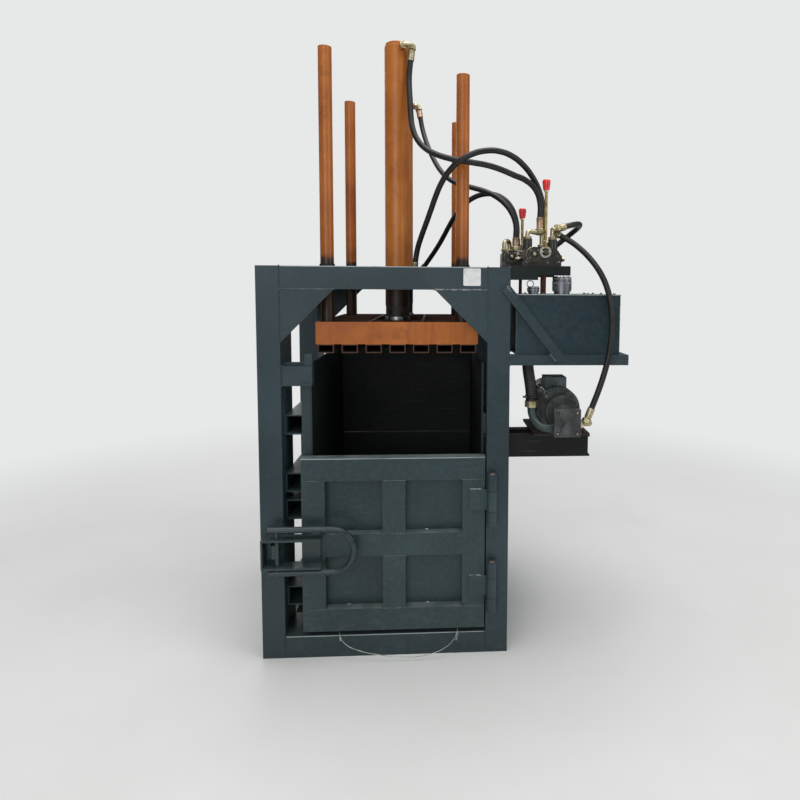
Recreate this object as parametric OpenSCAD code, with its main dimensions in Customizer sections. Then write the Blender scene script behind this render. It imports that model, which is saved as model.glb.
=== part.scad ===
// Vertical hydraulic baler with two cylinders, four guide tubes and two doors.
// Millimetres. Z is up, the front faces -Y, the oil tank is on the +X side.
// The origin lies on the floor at the middle of the frame's footprint.

/* [Frame] */
// Width over the columns
frame_w = 1100; // [1000:10:1300]
// Depth over the front and rear portals
frame_d = 1000; // [900:10:1200]
// Height of the portals
frame_h = 1757; // [1650:1:1950]
// Width of a column seen from the front
column_w = 100; // [80:5:110]
// Depth of a column
column_d = 200; // [160:5:220]
// Height of the top and bottom beams
beam_h = 100; // [90:5:130]
// Leg length of the corner gussets
gusset_leg = 232; // [150:1:260]
// Thickness of the corner gussets
gusset_t = 10; // [6:1:16]
// Thickness of the cylinder deck
deck_t = 25; // [16:1:40]
// Wall of the hollow columns and beams
frame_wall = 8; // [5:1:10]

/* [Chamber] */
// Gap between the left column and the chamber's wall
wall_gap_left = 112; // [100:1:130]
// Gap between the right column and the chamber's wall
wall_gap_right = 12; // [8:1:20]
// Plate of the chamber walls
wall_t = 8; // [5:1:10]
// Distance from the top of the frame down to the side walls
wall_drop = 427; // [410:1:500]
// Front flange of the chamber's left wall
flange_w = 38; // [30:1:50]
// Height of a side rib
rib_h = 90; // [60:5:110]

/* [Press] */
// Offset of the cylinders and guide tubes from the middle of the frame
press_x = 38; // [30:1:45]
// Gap between the pressing plate and each side wall
platen_gap = 18; // [10:1:30]
// Gap between the pressing plate and the front and rear of the chamber
platen_end_gap = 10; // [8:1:20]
// Height of the pressing plate's skirt
platen_h = 100; // [80:5:120]
// Distance from the top of the frame down to the plate at rest
platen_drop = 245; // [242:1:270]
// Width of a wire channel under the plate
channel_w = 72; // [60:1:84]
// Pitch of the wire channels
channel_pitch = 106; // [98:1:110]
// Height of a wire channel
channel_h = 40; // [25:1:50]
// Number of wire channels
channel_n = 7; // [4:1:7]
// Outer diameter of a guide tube
guide_d = 60; // [50:1:66]
// Distance between the left and right guide tubes
guide_span_x = 608; // [560:2:620]
// Distance between the front and rear guide tubes
guide_span_y = 760; // [740:5:800]
// Height of the left guide tubes above the frame
guide_rise_left = 956; // [900:1:1020]
// Height of the right guide tubes above the frame
guide_rise_right = 853; // [840:1:940]

/* [Cylinders] */
// Outer diameter of a cylinder barrel
barrel_d = 114; // [104:1:124]
// Wall of a barrel
barrel_wall = 12; // [9:1:14]
// Distance between the two cylinders
barrel_span = 454; // [400:2:480]
// Height of the front barrel above the frame
barrel_rise_front = 1022; // [1000:1:1100]
// Height of the rear barrel above the frame
barrel_rise_rear = 905; // [890:1:1000]
// Piston rod diameter
rod_d = 70; // [50:1:76]

/* [Doors] */
// Gap between the left column and a door
door_gap_left = 80; // [70:1:100]
// Gap between the right column and a door
door_gap_right = 6; // [4:1:12]
// Top of the front door
front_door_top = 912; // [860:1:960]
// Top of the rear door
rear_door_top = 797; // [760:1:830]
// Width of the door bars
bar_w = 102; // [80:1:120]
// Depth of the door bars
bar_d = 46; // [36:1:48]
// Diameter of the hinge barrels
knuckle_d = 44; // [38:1:50]
// Diameter of the hinge pins
pin_d = 20; // [16:1:24]

/* [Latch] */
// Diameter of the U handle's round bar
handle_d = 28; // [22:1:32]
// Distance between the handle's arms
handle_gap = 192; // [180:1:220]
// Length of the handle's straight arms from the shaft
handle_reach = 236; // [200:1:260]
// Diameter of the latch shaft
shaft_d = 18; // [14:1:22]

/* [Oil tank and valves] */
// Width of the oil tank
tank_w = 473; // [400:1:500]
// Depth of the oil tank
tank_d = 560; // [450:5:620]
// Height of the oil tank
tank_h = 270; // [220:1:290]
// Distance from the top of the frame down to the tank's underside
tank_drop = 387; // [380:1:420]
// Sheet of the oil tank
tank_t = 4; // [3:1:6]
// Height of the valve shelf above the frame
shelf_rise = 8; // [4:1:30]
// Length of a valve body
valve_w = 168; // [150:1:180]
// Height of the front lever above the frame
lever_rise_front = 383; // [330:1:420]
// Height of the rear lever above the frame
lever_rise_rear = 285; // [260:1:330]

/* [Motor and pump] */
// Height of the motor axis
motor_z = 1110; // [1105:1:1125]
// Distance of the motor axis from the frame's side
motor_out = 242; // [220:1:270]
// Diameter of the motor body between its fins
motor_d = 176; // [160:1:180]
// Height of the motor's support channels
support_h = 98; // [80:1:120]

/* [Hoses] */
// Outer diameter of a cylinder hose
hose_d = 26; // [20:1:30]
// Outer diameter of the suction hose
suction_d = 50; // [40:1:56]

/* [Hidden] */

frame_paint = [0.22, 0.27, 0.29];
chamber_paint = [0.10, 0.12, 0.12];
press_orange = [0.72, 0.39, 0.20];
cast_grey = [0.20, 0.20, 0.19];
zinc = [0.72, 0.70, 0.62];
steel = [0.55, 0.56, 0.57];
brass = [0.70, 0.58, 0.32];
rubber = [0.07, 0.07, 0.08];
grip_red = [0.80, 0.16, 0.18];
rust = [0.42, 0.26, 0.18];
motor_grey = [0.36, 0.40, 0.41];

run_gap = 0.3;
fit_gap = 0.1;
eps = 0.01;

front_y = -frame_d / 2;
rear_y = frame_d / 2;
inner_x = frame_w / 2 - column_w;
beam_top_z = frame_h - beam_h;

// Chamber planes
bay_w = 2 * inner_x - wall_gap_left - wall_gap_right - 2 * wall_t;
bay_x = (wall_gap_left - wall_gap_right) / 2;
wall_top = frame_h - wall_drop;
door_front = 2;
door_plate_t = 8;
chamber_y = frame_d / 2 - 60;
wall_in_left = bay_x - bay_w / 2;
wall_in_right = bay_x + bay_w / 2;
wall_out_left = wall_in_left - wall_t;
wall_out_right = wall_in_right + wall_t;
floor_t = 8;
floor_beam_w = 120;
floor_z = beam_h;
floor_top = floor_z + floor_t;
rib_levels = [215, 618, 742, 1006];
rib_wall = 6;

bracket_base = frame_h - 523;

// Press group
platen_top = frame_h - platen_drop;
platen_w = bay_w - 2 * platen_gap;
platen_d = 2 * chamber_y - 2 * platen_end_gap;
guide_top_left = frame_h + guide_rise_left;
guide_top_right = frame_h + guide_rise_right;
barrel_top_front = frame_h + barrel_rise_front;
barrel_top_rear = frame_h + barrel_rise_rear;
guide_x = [press_x - guide_span_x / 2, press_x + guide_span_x / 2];
guide_y = guide_span_y / 2;
guide_wall = 5;
bush_d = guide_d + 8;
bush_rise = 13;
barrel_y = barrel_span / 2;
deck_top = frame_h - 67;
gland_h = 50;
gland_z = platen_top + 18;
piston_h = 60;
piston_drop = 80;
rod_flange_d = 120;
rod_flange_t = 16;
flange_d = barrel_d + 66;
flange_t = 20;
flange_flat = frame_d / 2 - column_d - barrel_span / 2 - run_gap;
rail_gap = 40;
boss_len = 10;
boss_d = 32;
port_drop = 10;
port_low_z = deck_top + flange_t + boss_d / 2;
plate_t = 12;
skirt_t = 10;
channel_t = 5;

// Hinges and doors
hinge_x = frame_w / 2 - column_w + 24;
hinge_out = 24;
door_w = 2 * inner_x - door_gap_left - door_gap_right;
door_x = (door_gap_left - door_gap_right) / 2;
door_bottom = 120;
door_back = door_front + bar_d;
leaf_t = 10;
knuckle_gap = 1;
front_hinges = [[606, 673, 764, 838], [207, 276, 364, 437]];
rear_hinges = [[520, 587, 678, 752], [207, 276, 364, 437]];
leaf_x = inner_x - 75;

// Latch
latch_z = 516;
shaft_x = -inner_x - 16;
shaft_out = 50;
bracket_left = -inner_x - 81;
bracket_right = -inner_x + 175;
bracket_t = 8;
bracket_depth = 70;
bracket_half = 62;
bracket_z = latch_z - 8;
tower_root = 34;
bend_r = handle_gap / 2;

// Tank, shelf and brace
side_x = frame_w / 2;
shelf_top = frame_h + shelf_rise;
tank_z = frame_h - tank_drop;
tank_x = side_x + 25;
tank_front = front_y + 10;
fitting_d = 22;
lid_t = 5;
lid_edge = 3;
elbow_out = 16;
shelf_right = side_x + 270;
shelf_front = front_y + 20;
shelf_depth = 360;
shelf_t = 8;
shelf_lip = 42;
angle_t = 6;
angle_leg = 46;
angle_right = tank_x + tank_w + 38;

// Valves
valve_d = 90;
valve_h = 78;
lever_front_top = frame_h + lever_rise_front;
lever_rear_top = frame_h + lever_rise_rear;
valve_front = [side_x + 64, front_y + 50];
valve_rear = [side_x - 10, front_y + 255];
lever_dx = 90;
lever_out = 38;
lever_rise = 61;
lever_ring_d = 52;
lever_pin_d = 8;
lever_boss_d = 20;
lever_d = 13;
grip_cap = 6;
front_towers = [[22, 45, 46], [96, 88, 14], [134, 30, 42], [145, 78, 14]];
rear_towers = [[26, 45, 8], [70, 45, 4], [82, 84, 4]];
grip_d = 36;
grip_h = 46;
spool_d = 66;

side_boss = 12;
valve_rear_port = [valve_rear[0] + valve_w + side_boss, valve_rear[1] + valve_d / 2,
                   shelf_top + valve_h / 2 - 4];
// Return pipes below the valves: place and diameter
pipes = [[valve_front[0] + 100, valve_front[1] + 60, 26], [valve_rear[0] + 96, valve_rear[1] + 45, 16]];
pipe_gap = 0.5;

// Motor and pump
motor_x = side_x + motor_out;
motor_front = front_y + 90;
motor_len = 250;
pump_back = front_y + 10;
pump_len = 110;
pump_w = 116;
pump_h = 121;
pump_drop = 27;
pump_port = [motor_x + pump_w / 2 + 4, front_y - 60, motor_z - pump_drop - 10];
support_top = 1000;
support_right = motor_x + 133;
base_t = 10;
shaft_motor_d = 28;
pump_shaft_d = 18;
pump_shaft_in = 14;
coupling_d = 64;

// Points of the free hoses, from the cylinder or pump end to the other end.
// The middle value is measured back from the front face of the frame. They are
// drawn for the frame height and side below, and follow when those change.
drawn_frame_h = 1757;
drawn_side_x = 550;
hose_front_top_points = [
    [105, 220, 2705], [98.7, 219.4, 2642], [99.3, 210.9, 2579.7], [103.3, 198.9, 2517.7],
    [106.7, 188, 2455.6], [114.6, 174.5, 2394.2], [136.3, 157.6, 2337.3], [173.5, 134.3, 2292],
    [218, 101.5, 2261.1], [266.3, 66.9, 2238], [322.7, 45.5, 2222.1], [385.3, 38.8, 2212.2],
    [447.5, 41.4, 2202.8], [508, 51.2, 2187.3], [566.7, 60.2, 2166], [624.5, 74.8, 2145.3],
    [671.3, 90.9, 2106.6], [692.6, 98.9, 2048.1], [693, 99, 1985]
];
hose_front_bottom_points = [
    [124, 248, 1786], [136, 239, 1851.8], [156.2, 219.2, 1912.7], [179, 192.5, 1970.8],
    [200.8, 161.1, 2027.3], [221.9, 125.2, 2081.3], [246.1, 85.1, 2130.6], [278, 45.3, 2174.1],
    [321.3, 13.5, 2211], [376.1, -1.9, 2239.5], [437.9, 2.2, 2256.4], [500.5, 23.2, 2259],
    [559.3, 54.3, 2245.7], [611.9, 86.8, 2216.2], [656.6, 113.4, 2171.9], [690.7, 130.4, 2116],
    [710, 138, 2052.5], [710, 138, 1985]
];
hose_rear_top_points = [
    [136, 722, 2592], [147.8, 710.2, 2531.1], [162.7, 688, 2474.4], [179.9, 658.1, 2421.4],
    [198.9, 623.8, 2371.2], [220.3, 588.2, 2322.9], [245.5, 552.1, 2277.5],
    [276.2, 514.9, 2237.9], [313.5, 476.7, 2206.8], [357.6, 438.9, 2184.1],
    [407.2, 404, 2166.1], [459.6, 373.4, 2146.4], [510.9, 347.4, 2119.1],
    [556.5, 325.9, 2080.7], [591.1, 309.4, 2031.3], [610, 300, 1973.2], [610, 300, 1910]
];
hose_rear_bottom_points = [
    [160, 712, 1788], [191.2, 694.3, 1831.7], [218.4, 664.2, 1869.9], [242, 626.9, 1905.2],
    [263.2, 588, 1940.8], [284.3, 550.5, 1978.2], [307.3, 515.6, 2017], [334.7, 483.3, 2055.7],
    [368.2, 454.4, 2091.4], [409, 430.2, 2119.7], [456.5, 410.4, 2135.3],
    [506.7, 389.2, 2133.1], [553, 369.1, 2111.2], [589.1, 354.7, 2072.3], [611.8, 344.8, 2022],
    [622, 339, 1966.5], [622, 339, 1910]
];
hose_pressure_points = [
    [905, -60, 1140], [925.5, -58.1, 1191.3], [944.9, -54, 1242.8], [962.3, -49.1, 1295],
    [976.7, -44.5, 1348], [987.3, -40.8, 1402.1], [993.7, -37.4, 1456.9],
    [996.1, -33.6, 1512.1], [994.5, -28.1, 1567.2], [988.4, -19.4, 1621.3],
    [977.1, -6.4, 1673.5], [959.7, 11.2, 1722.6], [936.4, 32.5, 1768.1], [907.8, 56, 1809.7],
    [874.4, 79.8, 1847.5], [835.6, 100.8, 1880.7], [790, 116, 1908]
];
hose_link_points = [
    [805, 92, 1945], [827.7, 101.2, 1951.6], [849, 113.6, 1957.4], [868, 129.7, 1961.9],
    [883.5, 149.6, 1964.3], [894, 172.6, 1964.3], [898.8, 197.2, 1961.2],
    [897.6, 221.8, 1955.2], [891.3, 244.7, 1946.5], [880.7, 264.9, 1935.5],
    [866.8, 281.8, 1922.8], [850.5, 295.1, 1908.6], [832.6, 304.6, 1893.4],
    [813.7, 310.4, 1877.5], [794.4, 312.8, 1861.3], [775, 312, 1845]
];
hose_suction_points = [
    [637, 50, 1356], [637, 50, 1341.9], [637.6, 48.8, 1327.8], [638.4, 47.2, 1313.8],
    [639.5, 45, 1299.9], [641, 42.1, 1286.1], [642.7, 38.7, 1272.5], [644.5, 35, 1259],
    [646.3, 31.3, 1245.5], [648, 27.9, 1231.9], [649.5, 25, 1218.1], [650.6, 22.8, 1204.2],
    [651.4, 21.2, 1190.2], [652, 20, 1176.1], [652, 20, 1162]
];
suction_pipe_points = [
    [652, 20, 1140], [653, 12, 1110], [660, -4, 1082], [675, -22, 1062], [695, -36, 1052],
    [712, -40, 1050], [730, -40, 1050]
];
wire_points = [
    [-215, 22, 120], [-214, 17, 111], [-210, 2, 107], [-205, -14, 101], [-180, -30, 76],
    [-120, -40, 50], [-25, -46, 30], [60, -48, 20], [130, -48, 17], [200, -44, 26],
    [265, -36, 48], [305, -24, 80], [320, -8, 105], [324, 12, 111], [325, 18, 120]
];

// Rotation that turns the Z axis onto direction d
function turn_to(d) = [0, acos(d[2] / norm(d)), atan2(d[1], d[0])];
suction_start = moved(hose_suction_points)[0];
outlet_d = suction_d + 10;
function share(v, low, high) = max(0, min(1, (v - low) / (high - low)));
function moved(points) = [
    for (p = points)
        [p[0] + (side_x - drawn_side_x) * share(p[0], 160, 600), front_y + p[1],
         p[2] + (frame_h - drawn_frame_h) * share(p[2], 1162, 1356)]
];
function seg_dir(points, i) =
    let(a = points[max(i - 1, 0)], b = points[min(i + 1, len(points) - 1)]) (b - a) / norm(b - a);
function ring_side(d, up) = cross(d, up) / norm(cross(d, up));
function ring_up(d) = abs(d[0]) < 0.9 ? [1, 0, 0] : [0, 1, 0];
function first_side(points) = let(d = seg_dir(points, 0)) ring_side(d, ring_up(d));
function carried(side, d) = let(s = side - (side * d) * d) s / norm(s);
function side_at(points, i) =
    i == 0 ? first_side(points) : carried(side_at(points, i - 1), seg_dir(points, i));

// Tube swept along a list of points, one ring at each point
module swept_tube(points, d, sides = 8) {
    rings = len(points);
    verts = [
        for (i = [0 : rings - 1])
            let(dir = seg_dir(points, i), u = side_at(points, i), v = cross(dir, u))
            for (k = [0 : sides - 1])
                points[i] + d / 2 * (cos(360 * k / sides) * u + sin(360 * k / sides) * v)
    ];
    walls = [
        for (i = [0 : rings - 2], k = [0 : sides - 1])
            let(a = i * sides + k, b = i * sides + (k + 1) % sides)
            each [[a, b + sides, b], [a, a + sides, b + sides]]
    ];
    start_cap = [for (k = [0 : sides - 1]) k];
    end_cap = [for (k = [sides - 1 : -1 : 0]) (rings - 1) * sides + k];
    polyhedron(verts, concat(walls, [start_cap, end_cap]));
}

// Box between two corners
module block(a, b) {
    translate(a) cube(b - a);
}

// Round bar from point a to point b
module bar_between(a, b, d, sides = 40) {
    translate(a) rotate(turn_to(b - a)) cylinder(h = norm(b - a), d = d, $fn = sides);
}

// Everything that is the same at the rear, mirrored front to back
module at_rear() {
    mirror([0, 1, 0]) children();
}

// Triangular corner plate flush with the portal's front face
module gusset(side) {
    corner_x = side * inner_x;
    translate([0, front_y + gusset_t, 0])
        rotate([90, 0, 0])
            linear_extrude(gusset_t)
                polygon([
                    [corner_x, beam_top_z],
                    [corner_x - side * gusset_leg, beam_top_z],
                    [corner_x, beam_top_z - gusset_leg]
                ]);
}

// Fixed hinge knuckles on the right column, above and below each door knuckle
module column_knuckles(hinges) {
    for (z = hinges) {
        for (pair = [[z[0], z[1] - knuckle_gap], [z[2] + knuckle_gap, z[3]]]) {
            translate([hinge_x, front_y - hinge_out, pair[0]])
                cylinder(h = pair[1] - pair[0], d = knuckle_d, $fn = 48);
            block([hinge_x - knuckle_d / 4, front_y - hinge_out, pair[0]],
                  [hinge_x + knuckle_d / 4, front_y + eps, pair[1]]);
        }
    }
}

// Inside of the welded box columns, open at their feet, and of both beams
module hollow_sections() {
    y0 = front_y + frame_wall;
    y1 = front_y + column_d - frame_wall;
    for (side = [-1, 1])
        block([side * (inner_x + column_w / 2) - column_w / 2 + frame_wall, y0, -1],
              [side * (inner_x + column_w / 2) + column_w / 2 - frame_wall, y1, frame_h - frame_wall]);
    for (z = [0, beam_top_z])
        block([-inner_x + frame_wall, y0, z + frame_wall],
              [inner_x - frame_wall, y1, z + beam_h - frame_wall]);
}

module portal(hinges) {
    difference() {
        union() {
            for (side = [-1, 1]) {
                block([side * frame_w / 2 - (side > 0 ? column_w : 0), front_y, 0],
                      [side * frame_w / 2 + (side < 0 ? column_w : 0), front_y + column_d, frame_h]);
                gusset(side);
            }
            block([-inner_x, front_y, beam_top_z], [inner_x, front_y + column_d, frame_h]);
            block([-inner_x, front_y, 0], [inner_x, front_y + column_d, beam_h]);
            column_knuckles(hinges);
        }
        hollow_sections();
        for (x = guide_x)
            translate([x, -guide_y, beam_top_z - 1])
                cylinder(h = beam_h + 2, d = bush_d + 2 * fit_gap, $fn = 64);
        for (z = hinges)
            translate([hinge_x, front_y - hinge_out, z[0] - 1])
                cylinder(h = z[3] - z[0] + 2, d = pin_d + 2 * fit_gap, $fn = 40);
    }
}

// Keeper block on the left column, behind the latch cam
module latch_keeper() {
    block([shaft_x - 44, front_y - 30, latch_z - 38], [shaft_x - 32, front_y, latch_z + 38]);
}

module front_portal() {
    color(frame_paint) {
        portal(front_hinges);
        latch_keeper();
    }
}

module rear_portal() {
    color(frame_paint)
        at_rear() {
            portal(rear_hinges);
            latch_keeper();
        }
}

// Channel between the two portals, open towards the outside
module side_beam(side, z) {
    x0 = side * frame_w / 2;
    x1 = side * inner_x;
    web = 8;
    difference() {
        block([min(x0, x1), front_y + column_d, z],
              [max(x0, x1), rear_y - column_d, z + beam_h]);
        block([side > 0 ? x1 + web : x0 - 1, front_y + column_d - 1, z + web],
              [side > 0 ? x0 + 1 : x1 - web, rear_y - column_d + 1, z + beam_h - web]);
    }
}

// Box beam on the floor that carries the chamber's pan between the portals
module floor_beam() {
    y0 = front_y + column_d;
    difference() {
        block([-floor_beam_w / 2, y0, 0], [floor_beam_w / 2, -y0, floor_z]);
        block([-floor_beam_w / 2 + frame_wall, y0 - 1, frame_wall],
              [floor_beam_w / 2 - frame_wall, -y0 + 1, floor_z - frame_wall]);
    }
}

module side_beams() {
    color(frame_paint) {
        for (side = [-1, 1], z = [0, beam_top_z])
            side_beam(side, z);
        floor_beam();
    }
}

// Deck between the portals that carries both cylinders at their flanges
module cylinder_bridge() {
    half = flange_d / 2 + rail_gap;
    rail_t = 16;
    y0 = front_y + column_d;
    y1 = rear_y - column_d;
    color(frame_paint)
        difference() {
            union() {
                block([press_x - half, y0, deck_top - deck_t], [press_x + half, y1, deck_top]);
                for (side = [-1, 1])
                    block([press_x + side * half - rail_t / 2, y0, beam_top_z],
                          [press_x + side * half + rail_t / 2, y1, frame_h - 4]);
            }
            for (side = [-1, 1])
                translate([press_x, side * barrel_y, deck_top - deck_t - 1])
                    cylinder(h = deck_t + 2, d = barrel_d + 2 * fit_gap, $fn = 96);
        }
}

// Row of rectangular tubes along Y, open at both ends; the baling wires lie between them
module wire_channels(z, d) {
    for (i = [0 : channel_n - 1])
        translate([bay_x + (i - (channel_n - 1) / 2) * channel_pitch, 0, z + channel_h / 2])
            difference() {
                cube([channel_w, d, channel_h], center = true);
                cube([channel_w - 2 * channel_t, d + 2, channel_h - 2 * channel_t], center = true);
            }
}

module floor_pan() {
    color(chamber_paint) {
        block([wall_out_left, -chamber_y, floor_z], [wall_out_right, chamber_y, floor_top]);
        wire_channels(floor_top - eps, 2 * chamber_y);
    }
}

// Open-ended rectangular tube along Y that stiffens a side wall
module side_rib(x0, x1, z) {
    deep = x1 - x0 > 3 * rib_wall;
    difference() {
        block([x0, -chamber_y, z], [x1, chamber_y, z + rib_h]);
        if (deep)
            block([x0 + rib_wall, -chamber_y - 1, z + rib_wall],
                  [x1 - rib_wall, chamber_y + 1, z + rib_h - rib_wall]);
    }
}

module side_wall(x0, x1) {
    block([x0, -chamber_y, floor_top], [x1, chamber_y, wall_top]);
}

module left_wall() {
    flange_top = bracket_base;
    color(frame_paint) {
        side_wall(wall_out_left, wall_in_left);
        for (z = rib_levels)
            side_rib(-inner_x, wall_out_left + eps, z);
        for (side = [-1, 1])
            block([wall_out_left - flange_w, side > 0 ? chamber_y - wall_t : -chamber_y, floor_top],
                  [wall_out_left + eps, side > 0 ? chamber_y : -chamber_y + wall_t, flange_top]);
    }
}

module right_wall() {
    color(frame_paint) {
        side_wall(wall_in_right, wall_out_right);
        for (z = rib_levels)
            side_rib(wall_out_right - eps, inner_x, z);
    }
}

// Fixed panel over the rear door, with the lintel that the door closes under
module rear_panel() {
    lintel_h = 121;
    lintel_z = rear_door_top + 8;
    proud = 4;
    color(chamber_paint) {
        block([wall_out_left, chamber_y, lintel_z + lintel_h - eps],
              [wall_out_right, chamber_y + wall_t, wall_top]);
        difference() {
            block([-inner_x, chamber_y + eps, lintel_z],
                  [inner_x, rear_y - proud, lintel_z + lintel_h]);
            block([-inner_x + 1, chamber_y + wall_t, lintel_z + wall_t],
                  [inner_x - 1, rear_y, lintel_z + lintel_h - wall_t]);
        }
    }
}

// U bracket beside the feed opening, with its end block and lower lip
module feed_bracket() {
    plate = 8;
    top = bracket_base + 87;
    y0 = front_y + 8;
    y1 = front_y + 52;
    x1 = wall_in_left + 13;
    color(frame_paint) {
        block([-inner_x, y0, bracket_base], [x1, y0 + plate, top]);
        block([-inner_x, y0, bracket_base], [x1, y1, bracket_base + plate]);
        block([-inner_x, y1 - plate, bracket_base], [x1, y1, top + 14]);
        block([x1 - 34, y0 + plate - eps, top - 2], [x1, y1 - plate + eps, top + 50]);
        block([x1 - 40, y0 - 6, bracket_base], [x1, y0 + eps, bracket_base + 11]);
    }
}

module guide_bushes() {
    color(rubber)
        for (x = guide_x, side = [-1, 1])
            translate([x, side * guide_y, beam_top_z - 6])
                difference() {
                    cylinder(h = beam_h + 6 + bush_rise, d = bush_d, $fn = 64);
                    translate([0, 0, -1])
                        cylinder(h = beam_h + 8 + bush_rise, d = guide_d + 2 * run_gap, $fn = 64);
                }
}

// Barrel with its closed, slightly domed end, deck flange and two port bosses
module barrel(top, y) {
    r = barrel_d / 2;
    bore_r = r - barrel_wall;
    z0 = gland_z + gland_h;
    translate([press_x, y, 0])
        difference() {
            union() {
                rotate_extrude($fn = 96)
                    polygon([
                        [bore_r, z0], [r, z0], [r, top - 3], [r - 3, top], [r - 5, top], [r - 5, top + 12],
                        [r - 12, top + 17], [r - 30, top + 20], [0, top + 21],
                        [0, top - 30], [bore_r, top - 30]
                    ]);
                translate([0, 0, deck_top])
                    intersection() {
                        difference() {
                            cylinder(h = flange_t, d = flange_d, $fn = 96);
                            translate([0, 0, -1])
                                cylinder(h = flange_t + 2, r = r - eps, $fn = 96);
                        }
                        cube([2 * flange_d, 2 * flange_flat, 3 * flange_t], center = true);
                    }
                port_boss(port_angle(y, true), port_z(top));
                port_boss(port_angle(y, false), port_low_z);
            }
            for (high = [true, false])
                rotate([0, 0, port_angle(y, high)])
                    translate([bore_r - 2, 0, high ? port_z(top) : port_low_z])
                        rotate([0, 90, 0])
                            cylinder(h = barrel_wall + boss_len + 4, d = 12, $fn = 24);
        }
}

// Ports leave the barrel sideways; the high port of the front one is turned forward
function port_z(top) = top - port_drop;
function port_angle(y, high) = y < 0 ? (high ? -62 : -18) : (high ? -4 : -8);
function port_tip(y, top, high, out = 0) =
    let(a = port_angle(y, high), r = barrel_d / 2 + boss_len + out)
    [press_x + r * cos(a), y + r * sin(a), high ? port_z(top) : port_low_z];

module port_boss(angle, z) {
    rotate([0, 0, angle])
        translate([barrel_d / 2 - 6, 0, z])
            rotate([0, 90, 0])
                cylinder(h = boss_len + 6, d = boss_d, $fn = 32);
}

module front_barrel() { color(press_orange) barrel(barrel_top_front, -barrel_y); }
module rear_barrel() { color(press_orange) barrel(barrel_top_rear, barrel_y); }

// Screwed gland head at the lower end of a barrel
module gland(y) {
    translate([press_x, y, gland_z])
        difference() {
            union() {
                cylinder(h = gland_h, d = barrel_d - 4, $fn = 96);
                translate([0, 0, gland_h - eps])
                    cylinder(h = 30, d = barrel_d - 2 * barrel_wall - 2 * fit_gap, $fn = 96);
            }
            translate([0, 0, -1])
                cylinder(h = gland_h + 40, d = rod_d + 2 * run_gap, $fn = 64);
            for (a = [0 : 60 : 300])
                rotate([0, 0, a])
                    translate([barrel_d / 2 + 2, 0, 12])
                        cube([16, 14, 20], center = true);
        }
}

module front_gland() { color(cast_grey) gland(-barrel_y); }
module rear_gland() { color(cast_grey) gland(barrel_y); }

// Piston, rod and the bolted flange at its lower end
module piston(top, y) {
    head_z = top - piston_drop - piston_h - port_drop;
    translate([press_x, y, 0]) {
        translate([0, 0, platen_top])
            cylinder(h = rod_flange_t, d = rod_flange_d, $fn = 64);
        translate([0, 0, platen_top])
            cylinder(h = head_z - platen_top + eps, d = rod_d, $fn = 64);
        translate([0, 0, head_z])
            cylinder(h = piston_h, d = barrel_d - 2 * barrel_wall - 2 * run_gap, $fn = 96);
    }
}

module front_piston() { color(steel) piston(barrel_top_front, -barrel_y); }
module rear_piston() { color(steel) piston(barrel_top_rear, barrel_y); }

// Open grillage with a bottom plate, rod pads, and wire channels underneath
module platen() {
    base = platen_top - platen_h;
    x0 = bay_x - platen_w / 2;
    x1 = bay_x + platen_w / 2;
    y1 = platen_d / 2;
    color(press_orange) {
        difference() {
            block([x0, -y1, base], [x1, y1, platen_top]);
            block([x0 + skirt_t, -y1 + skirt_t, base + plate_t],
                  [x1 - skirt_t, y1 - skirt_t, platen_top + 1]);
        }
        for (side = [-1, 1]) {
            translate([press_x, side * barrel_y, base])
                cylinder(h = platen_h, d = rod_flange_d + 8, $fn = 64);
            for (dx = [-1, 1])
                block([press_x + dx * rod_flange_d - plate_t / 2, -y1 + 1, base + 1],
                      [press_x + dx * rod_flange_d + plate_t / 2, y1 - 1, platen_top - 2]);
            block([x0 + 1, side * barrel_y - plate_t / 2, base + 1],
                  [x1 - 1, side * barrel_y + plate_t / 2, platen_top - 2]);
        }
        wire_channels(base - channel_h + eps, platen_d);
    }
}

// Guide tube with a plain closed top, standing on the pressing plate
module guide_tube(x, y, top) {
    z0 = platen_top - platen_h + plate_t;
    color(press_orange)
        translate([x, y, z0])
            difference() {
                cylinder(h = top - z0, d = guide_d, $fn = 64);
                translate([0, 0, -1])
                    cylinder(h = top - z0 - guide_wall + 1, d = guide_d - 2 * guide_wall, $fn = 64);
            }
}

module guide_tube_front_left() { guide_tube(guide_x[0], -guide_y, guide_top_left); }
module guide_tube_front_right() { guide_tube(guide_x[1], -guide_y, guide_top_right); }
module guide_tube_rear_left() { guide_tube(guide_x[0], guide_y, guide_top_left); }
module guide_tube_rear_right() { guide_tube(guide_x[1], guide_y, guide_top_right); }

// Grid of three bars each way, seen from the front
module door_grid(w, h, bar) {
    for (i = [-1, 0, 1]) {
        translate([i * (w - bar_w) / 2, 0])
            square([bar, h - bar_w + bar], center = true);
        translate([0, i * (h - bar_w) / 2])
            square([w - bar_w + bar, bar], center = true);
    }
}

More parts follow.
